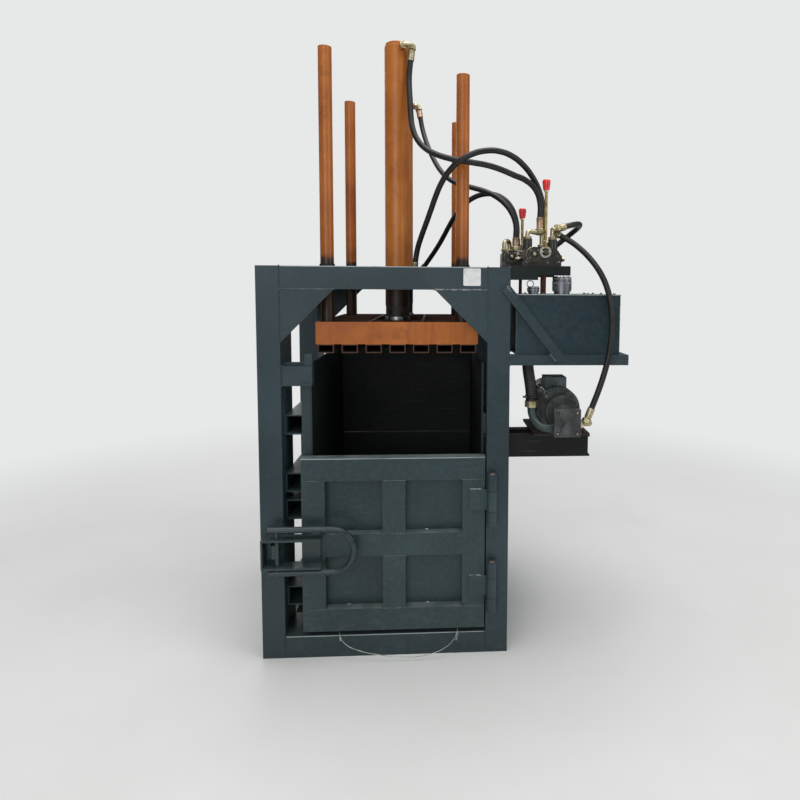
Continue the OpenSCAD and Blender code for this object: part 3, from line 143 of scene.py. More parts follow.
wire = {
    "diameter": 0.003, "length": 0.66,
    "points": [
        (-0.215, -0.478, 0.12), (-0.214, -0.483, 0.111), (-0.21, -0.498, 0.107), (-0.205, -0.514, 0.101),
        (-0.18, -0.53, 0.076), (-0.12, -0.54, 0.05), (-0.025, -0.546, 0.03), (0.06, -0.548, 0.02),
        (0.13, -0.548, 0.017), (0.2, -0.544, 0.026), (0.265, -0.536, 0.048), (0.305, -0.524, 0.08),
        (0.32, -0.508, 0.105), (0.324, -0.488, 0.111), (0.325, -0.482, 0.12)],
}


def roundCurve(name, sides):
    # each point's radius carries the thickness, so that the curve's box stays tight
    line = bpy.data.curves.new(name, "CURVE")
    line.dimensions = "3D"
    line.bevel_depth = 1.0
    line.bevel_resolution = sides
    line.use_fill_caps = True
    return line


def addRun(line, path, diameter):
    run = line.splines.new("POLY")
    run.points.add(len(path) - 1)
    for spot, place in zip(run.points, path):
        spot.co = (*place, 1)
        spot.radius = diameter / 2


def smoothLine(name, points, diameter, sides=6):
    line = roundCurve(name, sides)
    line.resolution_u = 6
    run = line.splines.new("BEZIER")
    run.bezier_points.add(len(points) - 1)
    for bend, place in zip(run.bezier_points, points):
        bend.co = place
        bend.radius = diameter / 2
        bend.handle_left_type = bend.handle_right_type = "AUTO"
    return placed(name, line)


hosePieces = {}
for name, hose in hoses.items():
    piece = smoothLine(name, hose["points"], hose["diameter"])
    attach(piece, "frame")
    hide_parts(hose["node"])
    hosePieces[name] = piece

wirePiece = smoothLine("balingWire", wire["points"], wire["diameter"], 3)
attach(wirePiece, "front_door")
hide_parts("bale_wire")
print("hoses and wire laid:", len(hosePieces) + 1)


# value maths and materials
class Level:
    # wraps a socket, so that value maths reads as plain sums
    def __init__(self, finish, socket):
        self.finish = finish
        self.socket = socket

    def sum(self, operation, first, second):
        return self.finish.node("ShaderNodeMath", {"operation": operation}, {0: first, 1: second})

    def __add__(self, other):
        return self.sum("ADD", self, other)

    def __radd__(self, other):
        return self.sum("ADD", other, self)

    def __sub__(self, other):
        return self.sum("SUBTRACT", self, other)

    def __rsub__(self, other):
        return self.sum("SUBTRACT", other, self)

    def __mul__(self, other):
        return self.sum("MULTIPLY", self, other)

    def __rmul__(self, other):
        return self.sum("MULTIPLY", other, self)


def tone(red, green, blue):
    # screen colour to the linear colour that the shader takes
    parts = [part / 255 for part in (red, green, blue)]
    return tuple(part / 12.92 if part < 0.04 else ((part + 0.055) / 1.055) ** 2.4 for part in parts) + (1,)


class Finish:
    # one material; steady values go straight on the shader's sockets
    def __init__(self, name, **steady):
        self.material = bpy.data.materials.new(name)
        self.material.use_nodes = True
        self.tree = self.material.node_tree
        self.shader = self.tree.nodes["Principled BSDF"]
        for key, value in steady.items():
            self.shader.inputs[key.replace("_", " ")].default_value = value
        self.place = self.node("ShaderNodeTexCoord", out="Object")

    def node(self, kind, settings=None, sockets=None, out=0):
        made = self.tree.nodes.new(kind)
        for key, value in (settings or {}).items():
            if key == "stops":
                for stop, (position, colour) in zip(made.color_ramp.elements, value):
                    stop.position = position
                    stop.color = colour
            else:
                setattr(made, key, value)
        for key, value in (sockets or {}).items():
            if isinstance(value, Level):
                self.tree.links.new(value.socket, made.inputs[key])
            else:
                made.inputs[key].default_value = value
        return Level(self, made.outputs[out])

    def link(self, **sockets):
        for key, value in sockets.items():
            self.tree.links.new(value.socket, self.shader.inputs[key.replace("_", " ")])

    def cloud(self, scale, detail=3, roughness=0.55, stretch=(1, 1, 1)):
        where = self.node("ShaderNodeMapping", {}, {0: self.place, 3: stretch})
        return self.node("ShaderNodeTexNoise", {}, {"Vector": where, "Scale": scale, "Detail": detail,
                                                   "Roughness": roughness})

    def step(self, value, low, high, bottom=0.0, top=1.0):
        return self.node("ShaderNodeMapRange", {"interpolation_type": "SMOOTHSTEP"},
                         {0: value, 1: low, 2: high, 3: bottom, 4: top})

    def axis(self, which):
        return self.node("ShaderNodeSeparateXYZ", {}, {0: self.place}, which)

    def facing(self, which):
        normal = self.node("ShaderNodeTexCoord", out="Normal")
        return self.node("ShaderNodeSeparateXYZ", {}, {0: normal}, which)

    def mix(self, amount, first, second):
        return self.node("ShaderNodeMix", {"data_type": "RGBA"}, {0: amount, 6: first, 7: second}, 2)

    def bump(self, height, strength, distance, normal=None):
        sockets = {"Strength": strength, "Distance": distance, "Height": height}
        if normal is not None:
            sockets["Normal"] = normal
        return self.node("ShaderNodeBump", {}, sockets)


# dark blue-grey enamel of the welded frame, with dust, rubs and small chips, painted highlights on its top
# edges and painted shade inside the chamber
enamels = {
    "frameEnamel": {"light": (47, 66, 73), "dark": (37, 54, 60), "dust": (92, 99, 98), "dustAndTopLight": 0.24,
                    "speck": 0.12, "gloss": 0.44, "low": (39, 53, 56), "rubs": 0.35, "spec": 0.36,
                    "shadedInside": "", "edges": [(1.757, 0.447), (0.1, 0.447)]},
    "doorEnamel": {"light": (50, 71, 75), "dark": (40, 59, 63), "dust": (134, 145, 144), "dustAndTopLight": 0.42,
                   "speck": 0.06, "gloss": 0.42, "low": (40, 55, 57), "rubs": 0.6, "spec": 0.36,
                   "shadedInside": "doors", "edges": [(0.912, 9.0)]},
    "handleEnamel": {"light": (42, 60, 65), "dark": (32, 47, 52), "dust": (104, 114, 114),
                     "dustAndTopLight": 0.2, "speck": 0.06, "gloss": 0.3, "low": (34, 49, 53), "rubs": 0.7,
                     "spec": 0.5, "peel": 0.01, "shadedInside": "", "edges": []},
    "channelEnamel": {"light": (21, 26, 24), "dark": (12, 15, 14), "dust": (66, 66, 60), "dustAndTopLight": 0.14,
                      "speck": 0.06, "gloss": 0.52, "low": (15, 19, 18), "rubs": 0.4, "spec": 0.24,
                      "shadedInside": "", "edges": []},
    "shelfEnamel": {"light": (27, 37, 39), "dark": (18, 26, 28), "dust": (74, 78, 75), "dustAndTopLight": 0.18,
                    "speck": 0.06, "gloss": 0.52, "low": (20, 28, 30), "rubs": 0.4, "spec": 0.24,
                    "shadedInside": "", "edges": []},
    "tankEnamel": {"light": (39, 60, 68), "dark": (31, 50, 57), "dust": (88, 96, 97), "dustAndTopLight": 0.3,
                   "speck": 0.1, "gloss": 0.38, "low": (33, 49, 56), "rubs": 0.25, "spec": 0.36,
                   "shadedInside": "", "edges": [(1.64, 9.0)]},
    "chamberEnamel": {"light": (48, 67, 73), "dark": (38, 55, 60), "dust": (92, 99, 97), "dustAndTopLight": 0.26,
                      "speck": 0.12, "gloss": 0.46, "low": (39, 53, 56), "rubs": 0.5, "spec": 0.36,
                      "shadedInside": "chamber", "edges": []},
}

# the pale rim tone is a painted highlight on top edges, and the two darkest tones are painted shade inside
# the chamber
wearAndLightColours = {"rub": (150, 152, 148), "chip": (24, 20, 18), "rim": (188, 197, 199), "insideShade": (15, 17, 17),
               "insideShadePale": (25, 28, 28), "scrape": (58, 60, 58), "oil": (44, 36, 28), "rust": (104, 88, 66),
               "hoseDust": (92, 88, 80), "gripDirt": (70, 24, 22)}
# where the painted shade inside the chamber starts and is full, on each side
shadedInside = {"left": (-0.340, -0.336), "right": (0.440, 0.436), "front": (-0.4405, -0.4395),
          "rear": (0.447, 0.441), "door": (-0.25, -0.40)}


def innerSide(finish, which):
    # 1 on the faces that look into the chamber
    if which == "doors":
        return finish.step(finish.facing(1) * finish.axis(1), *shadedInside["door"])
    sides = finish.step(finish.axis(0), *shadedInside["left"]) * finish.step(finish.axis(0), *shadedInside["right"])
    ends = finish.step(finish.axis(1), *shadedInside["front"]) * finish.step(finish.axis(1), *shadedInside["rear"])
    return sides * ends


def makeEnamel(name, look):
    finish = Finish(name, Specular_IOR_Level=look["spec"], Coat_Roughness=0.24)
    broad = finish.cloud(1.6, 3)
    fine = finish.cloud(46, 4, 0.6)
    height = finish.axis(2)
    paint = finish.mix(finish.step(broad, 0.35, 0.65), tone(*look["dark"]), tone(*look["light"]))
    paint = finish.mix(finish.step(height, 0.75, 0.05, 0.0, 0.6), paint, tone(*look["low"]))
    paint = finish.mix(finish.step(fine, 0.42, 0.7, 0.0, look["speck"]), paint, tone(*look["dust"]))
    # dust on what faces up, doubling as painted light from above on those faces, and in drifts near the floor
    upFacingDustAndLight = finish.step(finish.facing(2), 0.5, 0.9) * finish.step(finish.cloud(9, 4), 0.3, 0.7, 0.3, 1.0)
    splash = finish.step(height, 0.32, 0.0) * finish.step(finish.cloud(14, 5, 0.7), 0.45, 0.75)
    dirtAndTopLight = (upFacingDustAndLight * look["dustAndTopLight"] * 1.6) + (splash * 0.22)
    paint = finish.mix(dirtAndTopLight, paint, tone(*look["dust"]))
    # long thin rubs, mostly level, and small chips down to primer
    rub = finish.step(finish.cloud(5, 2, 0.5, (1.0, 1.0, 38)), 0.68, 0.73)
    rub = rub * finish.step(finish.cloud(3.2, 3), 0.48, 0.62)
    paint = finish.mix(rub * (look["rubs"] * 0.30), paint, tone(*wearAndLightColours["rub"]))
    chip = finish.step(finish.cloud(75, 2, 0.4), 0.76, 0.79) * finish.step(finish.cloud(6, 2), 0.52, 0.66)
    paint = finish.mix(chip * look["rubs"], paint, tone(*wearAndLightColours["chip"]))
    rough = finish.step(fine, 0.3, 0.75, look["gloss"] - 0.07, look["gloss"] + 0.10) + dirtAndTopLight * 0.3 + rub * 0.1
    for top, reach in look["edges"]:
        # painted highlight along the rounded top edge of a beam, door or lid
        rim = finish.step(height, top - 0.0045, top - 0.0025) * finish.step(height, top + 0.002, top + 0.001)
        rim = rim * finish.step(finish.facing(1) * finish.facing(1), 0.3, 0.6)
        rim = rim * finish.step(finish.axis(0) * finish.axis(0), reach * reach, reach * reach - 0.003)
        rim = rim * finish.step(finish.cloud(8, 3), 0.3, 0.5, 0.40, 0.80)
        paint = finish.mix(rim, paint, tone(*wearAndLightColours["rim"]))
    if look["shadedInside"]:
        # painted shade on the inner sides of the chamber and the doors' inner faces, with scrape marks
        inner = innerSide(finish, look["shadedInside"])
        scrape = finish.step(finish.cloud(7, 3, 0.6, (0.8, 0.8, 26)), 0.58, 0.68)
        bare, insideShadePale = tone(*wearAndLightColours["insideShade"]), tone(*wearAndLightColours["insideShadePale"])
        insideShade = finish.mix(finish.step(broad, 0.3, 0.7), bare, insideShadePale)
        insideShade = finish.mix(scrape * 0.35, insideShade, tone(*wearAndLightColours["scrape"]))
        paint = finish.mix(inner * 0.94, paint, insideShade)
        rough = rough + inner * 0.15
    finish.link(Base_Color=paint)
    finish.link(Roughness=rough)
    finish.link(Coat_Weight=finish.step(broad, 0.3, 0.7, 0.05, 0.15))
    peel = finish.bump(finish.cloud(210, 2, 0.4), look.get("peel", 0.10), 0.0006)
    finish.link(Normal=finish.bump(finish.cloud(11, 3), 0.10, 0.004, peel))
    return finish


finishes = {}
for name, look in enamels.items():
    finishes[name] = makeEnamel(name, look)
print("enamels mixed:", len(enamels))

# orange of the cylinders, guide tubes and pressing plate
orange = {"plate": ((196, 110, 33), (161, 83, 21)), "tube": ((185, 106, 38), (149, 80, 24)),
          "barrel": ((197, 119, 44), (164, 91, 28)), "grime": (52, 34, 22), "scuff": (122, 66, 30),
          "greaseAndShade": (20, 18, 17), "cakedDirtAndShade": (38, 30, 25), "pressed": (36, 23, 17),
          "rim": 0.003, "channels": (1.4125, 1.409)}
plateLow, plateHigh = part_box("platen")


def makeOrange(name, paints, grimeAmount, shadeAndGreaseTo=0.0, flatGrimeAndShade=0.0):
    light, dark = orange[paints]
    finish = Finish(name, Specular_IOR_Level=0.42, Coat_Roughness=0.18)
    broad = finish.cloud(3.4, 4, 0.6)
    fine = finish.cloud(60, 4, 0.65)
    paint = finish.mix(finish.step(broad, 0.3, 0.7), tone(*dark), tone(*light))
    streak = finish.step(finish.cloud(4, 4, 0.6, (9, 9, 0.7)), 0.5, 0.72)
    paint = finish.mix(streak * 0.34, paint, tone(*orange["scuff"]))
    blot = finish.step(finish.cloud(13, 5, 0.7), 0.52, 0.72) * finish.step(finish.cloud(3, 2), 0.42, 0.62)
    paint = finish.mix(blot * grimeAmount, paint, tone(*orange["grime"]))
    speck = finish.step(fine, 0.60, 0.74, 0.0, 0.35 * grimeAmount + 0.1)
    paint = finish.mix(speck, paint, tone(*orange["grime"]))
    oily = blot * grimeAmount
    if shadeAndGreaseTo:
        # black grease and painted shade on all that slides through its collar, below the top beam, and a wet
        # ring above
        ragged = finish.axis(2) + finish.cloud(24, 3) * 0.05 - 0.025
        greaseAndShade = finish.step(ragged, shadeAndGreaseTo + 0.018, shadeAndGreaseTo - 0.012)
        paint = finish.mix(greaseAndShade * 0.93, paint, tone(*orange["greaseAndShade"]))
        oily = oily + greaseAndShade * 0.6
    cleared = 1.0
    if flatGrimeAndShade:
        # caked dirt and painted shade on what faces up and between the plate's ribs, and dark dirt on the
        # channels that meet the bale
        cakedDirtAndShade = finish.step(finish.facing(2), 0.5, 0.9)
        for which in (0, 1):
            low, high = plateLow[which] + orange["rim"], plateHigh[which] - orange["rim"]
            between = finish.step(finish.axis(which), low, low + 0.002)
            between = between * finish.step(finish.axis(which), high, high - 0.002)
            within = between if which == 0 else within * between
        cakedDirtAndShade = finish.node("ShaderNodeMath", {"operation": "MAXIMUM"}, {0: cakedDirtAndShade, 1: within}) * flatGrimeAndShade
        pressed = finish.step(finish.axis(2), *orange["channels"]) * flatGrimeAndShade
        paint = finish.mix(cakedDirtAndShade, paint, tone(*orange["cakedDirtAndShade"]))
        paint = finish.mix(pressed, paint, tone(*orange["pressed"]))
        oily = oily + cakedDirtAndShade * 3.2 + pressed
        cleared = 1.0 - cakedDirtAndShade
    finish.link(Base_Color=paint)
    finish.link(Roughness=finish.step(fine, 0.3, 0.7, 0.30, 0.42) + oily * 0.12)
    finish.link(Coat_Weight=finish.step(broad, 0.3, 0.7, 0.08, 0.24) * cleared)
    finish.link(Normal=finish.bump(finish.cloud(150, 3), 0.12, 0.0006, finish.bump(broad, 0.1, 0.003)))
    return finish


finishes["plateOrange"] = makeOrange("plateOrange", "plate", 0.55, 0.0, 0.90)
finishes["frontTubeOrange"] = makeOrange("frontTubeOrange", "tube", 0.35, 1.795)
finishes["rearTubeOrange"] = makeOrange("rearTubeOrange", "tube", 0.45, 1.805)
finishes["barrelOrange"] = makeOrange("barrelOrange", "barrel", 0.45, 1.735)
print("orange mixed")

# metals: bare, plated and painted; below its "level" a metal shows the colour "under"
metals = {
    "polishedRod": {"light": (208, 210, 212), "dark": (184, 187, 190), "rough": 0.2, "metal": 1.0,
                    "oil": 0.1},
    "zincPlate": {"light": (214, 205, 172), "dark": (160, 148, 112), "rough": 0.34, "metal": 0.9,
                  "oil": 0.3},
    "copperFerrule": {"light": (208, 178, 150), "dark": (150, 118, 94), "rough": 0.4, "metal": 0.75,
                      "oil": 0.25},
    "yellowRod": {"light": (186, 166, 106), "dark": (128, 110, 64), "rough": 0.38, "metal": 0.85,
                  "oil": 0.25, "level": 1.847, "under": (176, 176, 166), "underMetal": 0.9},
    "suctionEnamel": {"light": (208, 198, 160), "dark": (150, 140, 104), "rough": 0.36, "metal": 0.85,
                      "oil": 0.3, "level": 1.1335, "under": (50, 64, 64), "underMetal": 0.0},
    "weldEnamel": {"light": (92, 104, 108), "dark": (58, 70, 75), "rough": 0.28, "metal": 0.0,
                   "oil": 0.1},
    "weldBright": {"light": (176, 180, 180), "dark": (92, 100, 102), "rough": 0.34, "metal": 0.45,
                   "oil": 0.3},
    "blackSteel": {"light": (58, 58, 60), "dark": (26, 26, 28), "rough": 0.4, "metal": 0.7,
                   "oil": 0.3},
    "brightCap": {"light": (150, 153, 158), "dark": (96, 100, 106), "rough": 0.34, "metal": 0.85,
                  "oil": 0.15},
    # near white, a painted highlight for the caps' chrome
    "capRimHighlight": {"light": (232, 234, 235), "dark": (200, 203, 205), "rough": 0.34, "metal": 0.35,
               "oil": 0.05},
    "wireSteel": {"light": (196, 203, 198), "dark": (150, 158, 153), "rough": 0.38, "metal": 0.55,
                  "oil": 0.08},
    "boltSteel": {"light": (150, 148, 142), "dark": (84, 82, 80), "rough": 0.42, "metal": 0.9,
                  "oil": 0.4},
}


def makeMetal(name, look):
    finish = Finish(name, Specular_IOR_Level=0.5)
    broad = finish.cloud(24, 4, 0.6)
    fine = finish.cloud(180, 3, 0.6)
    colour = finish.mix(finish.step(broad, 0.35, 0.68), tone(*look["light"]), tone(*look["dark"]))
    film = finish.step(finish.cloud(40, 5, 0.7), 0.5, 0.72) * look["oil"]
    colour = finish.mix(film, colour, tone(*wearAndLightColours["oil"]))
    plated = look["metal"] - film * 0.6
    if "level" in look:
        other = finish.step(finish.axis(2), look["level"] - 0.001, look["level"] + 0.001)
        colour = finish.mix(other, tone(*look["under"]), colour)
        plated = plated * (other * (1 - look["underMetal"]) + look["underMetal"])
    finish.link(Base_Color=colour)
    finish.link(Metallic=plated)
    rough = finish.step(fine, 0.3, 0.7, look["rough"] - 0.06, look["rough"] + 0.08)
    finish.link(Roughness=rough + film * 0.2)
    finish.link(Normal=finish.bump(fine, 0.10, 0.0004))
    return finish


for name, look in metals.items():
    finishes[name] = makeMetal(name, look)


def makeCastIron(name, light, dark, wet):
    finish = Finish(name, Specular_IOR_Level=0.5, Coat_Roughness=0.25)
    grain = finish.cloud(130, 4, 0.7)
    broad = finish.cloud(17, 4, 0.65)
    colour = finish.mix(finish.step(broad, 0.36, 0.68), tone(*dark), tone(*light))
    spots = finish.step(finish.cloud(52, 5, 0.7), 0.58, 0.74, 0.0, 0.6)
    colour = finish.mix(spots, colour, tone(*wearAndLightColours["rust"]))
    finish.link(Base_Color=colour)
    finish.link(Roughness=finish.step(broad, 0.35, 0.65, 0.34, 0.58))
    finish.link(Coat_Weight=finish.step(broad, 0.55, 0.35, 0.0, wet))
    finish.link(Normal=finish.bump(grain, 0.35, 0.0012))
    return finish


finishes["oilyCasting"] = makeCastIron("oilyCasting", (66, 60, 52), (28, 26, 24), 0.5)
finishes["greyCasting"] = makeCastIron("greyCasting", (88, 90, 90), (48, 50, 52), 0.2)
finishes["motorEnamel"] = makeCastIron("motorEnamel", (112, 122, 124), (80, 90, 94), 0.15)


def makeRust(name, paint, amount):
    finish = Finish(name, Specular_IOR_Level=0.35)
    broad = finish.cloud(12, 5, 0.65)
    fine = finish.cloud(85, 5, 0.7)
    brown = finish.mix(finish.step(fine, 0.35, 0.7), tone(74, 44, 30), tone(136, 84, 54))
    share = finish.step(broad, 0.62 - amount * 0.3, 0.72 - amount * 0.3)
    finish.link(Base_Color=finish.mix(share, tone(*paint), brown))
    finish.link(Roughness=finish.step(share, 0.0, 1.0, 0.5, 0.86))
    finish.link(Normal=finish.bump(fine * share, 0.4, 0.0015))
    return finish


finishes["rustyPipe"] = makeRust("rustyPipe", (96, 62, 48), 0.8)
finishes["rustyBase"] = makeRust("rustyBase", (36, 33, 31), 0.25)


def makeRubber(name, light, dark, gloss, wrap):
    finish = Finish(name, Specular_IOR_Level=0.5)
    broad = finish.cloud(7, 4, 0.6)
    fine = finish.cloud(wrap, 3, 0.5)
    colour = finish.mix(finish.step(broad, 0.3, 0.72), tone(*dark), tone(*light))
    dust = finish.step(finish.cloud(34, 5, 0.7), 0.55, 0.75, 0.0, 0.35)
    dust = dust * finish.step(finish.facing(2), -0.1, 0.8, 0.3, 1.0)
    finish.link(Base_Color=finish.mix(dust, colour, tone(*wearAndLightColours["hoseDust"])))
    finish.link(Roughness=finish.step(broad, 0.3, 0.7, gloss, gloss + 0.14) + dust * 0.3)
    finish.link(Normal=finish.bump(fine, 0.25, 0.0007))
    return finish


finishes["hoseRubber"] = makeRubber("hoseRubber", (34, 33, 33), (15, 15, 16), 0.36, 420)
finishes["collarPlastic"] = makeRubber("collarPlastic", (28, 27, 26), (12, 12, 12), 0.45, 90)


def makeGrip(name):
    finish = Finish(name, Specular_IOR_Level=0.55, Coat_Roughness=0.08)
    broad = finish.cloud(40, 4, 0.6)
    colour = finish.mix(finish.step(broad, 0.35, 0.7), tone(238, 50, 50), tone(210, 32, 38))
    smear = finish.step(finish.cloud(95, 5, 0.7), 0.60, 0.76, 0.0, 0.3)
    finish.link(Base_Color=finish.mix(smear, colour, tone(*wearAndLightColours["gripDirt"])))
    finish.link(Roughness=finish.step(broad, 0.3, 0.7, 0.24, 0.38) + smear * 0.3)
    finish.link(Coat_Weight=finish.step(broad, 0.3, 0.7, 0.5, 0.3))
    finish.link(Normal=finish.bump(broad, 0.05, 0.001))
    return finish


finishes["redGrip"] = makeGrip("redGrip")


def makePlate(name):
    finish = Finish(name, Specular_IOR_Level=0.5)
    broad = finish.cloud(30, 4, 0.6)
    colour = finish.mix(finish.step(broad, 0.4, 0.75), tone(236, 237, 236), tone(205, 206, 203))
    finish.link(Base_Color=colour)
    finish.link(Roughness=finish.step(broad, 0.3, 0.7, 0.35, 0.5))
    finish.link(Normal=finish.bump(broad, 0.08, 0.0008))
    return finish


finishes["barePlate"] = makePlate("barePlate")
print("finishes ready:", len(finishes))

# which finish each CAD node wears
wear = {
    "frameEnamel": ["front_portal", "rear_portal", "side_beams", "cylinder_bridge", "feed_bracket",
                    "tank_shelf", "tank_brace"],
    "channelEnamel": ["motor_supports"],
    "shelfEnamel": ["valve_shelf"],
    "doorEnamel": ["front_door", "rear_door"],
    "handleEnamel": ["front_latch_bracket", "front_latch_handle", "rear_latch_bracket", "rear_latch_handle"],
    "tankEnamel": ["tank"],
    "chamberEnamel": ["left_wall", "right_wall", "floor_pan", "rear_panel"],
    "plateOrange": ["platen"],
    "frontTubeOrange": ["guide_tube_front_left", "guide_tube_front_right"],
    "rearTubeOrange": ["guide_tube_rear_left", "guide_tube_rear_right"],
    "barrelOrange": ["front_barrel", "rear_barrel"],
    "polishedRod": ["front_piston", "rear_piston", "motor_rotor"],
    "boltSteel": ["front_hinge_pins", "rear_hinge_pins"],
    "oilyCasting": ["front_valve", "rear_valve", "front_gland", "rear_gland"],
    "greyCasting": ["pump_body", "bell_housing"],
    "motorEnamel": ["motor_housing", "fan_cover"],
    "rustyPipe": ["return_pipes"],
    "rustyBase": ["motor_base"],
    "collarPlastic": ["guide_bushes"],
    "yellowRod": ["front_lever", "rear_lever"],
    "redGrip": ["front_grip", "rear_grip"],
    "brightCap": ["breather_cap", "filler_cap"],
    "suctionEnamel": ["suction_pipe"],
    "zincPlate": ["cylinder_fittings", "valve_fittings"],
    "hoseRubber": ["hose_front_top", "hose_front_bottom", "hose_rear_top", "hose_rear_bottom",
                   "hose_pressure", "hose_link", "hose_suction"],
    "wireSteel": ["bale_wire"],
}


def dress(piece, finishName):
    piece.data.materials.clear()
    piece.data.materials.append(finishes[finishName].material)


for finishName, members in wear.items():
    for member in members:
        dress(nodes[member], finishName)
for piece in hosePieces.values():
    dress(piece, "hoseRubber")
dress(wirePiece, "wireSteel")
print("CAD nodes dressed:", sum(len(members) for members in wear.values()))


# mesh pieces
def newPiece(name, shape, finishName, body, smooth=True):
    bmesh.ops.remove_doubles(shape, verts=shape.verts, dist=0.00001)
    bmesh.ops.recalc_face_normals(shape, faces=shape.faces)
    for face in shape.faces:
        face.smooth = smooth
    mesh = bpy.data.meshes.new(name)
    shape.to_mesh(mesh)
    shape.free()
    piece = placed(name, mesh)
    dress(piece, finishName)
    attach(piece, body)
    return piece


def splitEdges(piece, angle):
    # smooth round faces, sharp where they turn more than this
    edge = piece.modifiers.new("edge", "EDGE_SPLIT")
    edge.split_angle = math.radians(angle)


def aimed(place, ahead):
    turn = Vector((0, 0, 1)).rotation_difference(Vector(ahead).normalized())
    return Matrix.Translation(place) @ turn.to_matrix().to_4x4()


def addPart(shape, part, matrix):
    # merges a small bmesh into the piece, at its place
    bmesh.ops.remove_doubles(part, verts=part.verts, dist=0.00001)
    bmesh.ops.transform(part, matrix=matrix, verts=part.verts)
    carrier = bpy.data.meshes.new("carrier")
    part.to_mesh(carrier)
    part.free()
    shape.from_mesh(carrier)
    bpy.data.meshes.remove(carrier)


def turned(shape, profile, place, ahead, steps=28):
    # a lathe shape: pairs of radius and height, spun round the line ahead
    part = bmesh.new()
    corners = [part.verts.new((radius, 0, height)) for radius, height in profile]
    edges = [part.edges.new(pair) for pair in zip(corners, corners[1:])]
    bmesh.ops.spin(part, geom=corners + edges, cent=(0, 0, 0), axis=(0, 0, 1), dvec=(0, 0, 0),
                   angle=math.tau, steps=steps, use_merge=True, use_normal_flip=False, use_duplicate=False)
    addPart(shape, part, aimed(place, ahead))


def hexagon(shape, place, ahead, across, height, chamfer=0.0012):
    part = bmesh.new()
    corner = across / 1.732  # from the middle to a corner
    bmesh.ops.create_cone(part, cap_ends=True, cap_tris=False, segments=6, radius1=corner, radius2=corner,
                          depth=height)
    rim = [edge for edge in part.edges if abs(edge.verts[0].co.z - edge.verts[1].co.z) < 0.0001]
    bmesh.ops.bevel(part, geom=rim, offset=chamfer, offset_type="OFFSET", segments=1, profile=0.5,
                    affect="EDGES", material=-1, clamp_overlap=True)
    addPart(shape, part, aimed(place, ahead) @ Matrix.Translation((0, 0, height / 2)))


def bolt(shape, place, ahead, across=0.013, head=0.006):
    turned(shape, [(0, 0), (across * 0.72, 0), (across * 0.72, 0.0015), (0, 0.0015)], place, ahead, 20)
    hexagon(shape, Vector(place) + Vector(ahead).normalized() * 0.0014, ahead, across, head)


def bentPipe(name, runs, diameter, bendRadius):
    # pipes with rounded bends, one open run each
    line = roundCurve(name, 5)
    for corners in runs:
        corners = [Vector(corner) for corner in corners]
        path = [corners[0]]
        for before, corner, after in zip(corners, corners[1:], corners[2:]):
            reach = min(bendRadius, (before - corner).length * 0.48, (after - corner).length * 0.48)
            start = corner + (before - corner).normalized() * reach
            end = corner + (after - corner).normalized() * reach
            for share in (0, 0.2, 0.4, 0.6, 0.8, 1):
                path.append((1 - share) ** 2 * start + 2 * share * (1 - share) * corner + share ** 2 * end)
        path.append(corners[-1])
        addRun(line, path, diameter)
    return placed(name, line)


# hose ends: crimped ferrule, hex nut and bent pipe to each port
fittings = {
    "ferrule": 0.0162, "nut": 0.036, "nutDepth": 0.017, "pipe": 0.022, "bend": 0.020,
    "barrelEnds": [
        ("frontTopHose", 0, 0.046, [(0.07697, -0.30028, 2.769), (0.06945, -0.28616, 2.769)], "zincPlate"),
        ("frontBottomHose", 0, 0.024, [(0.11694, -0.25265, 1.726), (0.10172, -0.2477, 1.726)], "zincPlate"),
        ("rearTopHose", 0, 0.040, [(0.1208, 0.22121, 2.652), (0.10484, 0.22233, 2.652)], "copperFerrule"),
        ("rearBottomHose", 0, 0.024, [(0.12019, 0.21545, 1.726), (0.10435, 0.21768, 1.726)], "blackSteel"),
    ],
    "bridges": [[(0.554, -0.208, 1.840), (0.554, -0.208, 1.896), (0.583, -0.178, 1.896),
                 (0.583, -0.178, 1.840)]],
    "valveEnds": [
        ("frontTopHose", -1, 0.046, [(0.636, -0.405, 1.927), (0.636, -0.405, 1.885)], "copperFerrule"),
        ("frontBottomHose", -1, 0.046, [(0.710, -0.362, 1.895), (0.710, -0.362, 1.852)], "blackSteel"),
        ("rearTopHose", -1, 0.038, [(0.610, -0.200, 1.845)], "copperFerrule"),
        ("rearBottomHose", -1, 0.038, [(0.622, -0.161, 1.845)], "blackSteel"),
        ("linkHose", 0, 0.030, [(0.748, -0.420, 1.933), (0.748, -0.420, 1.882)], "zincPlate"),
        ("linkHose", -1, 0.020, [(0.736, -0.200, 1.800), (0.718, -0.200, 1.800)], "blackSteel"),
        ("pumpHose", 0, 0.046, [(0.905, -0.560, 1.073), (0.850, -0.560, 1.073)], "zincPlate"),
        ("pumpHose", -1, 0.014, [(0.759, -0.372, 1.918), (0.759, -0.372, 1.855)], "zincPlate"),
    ],
}


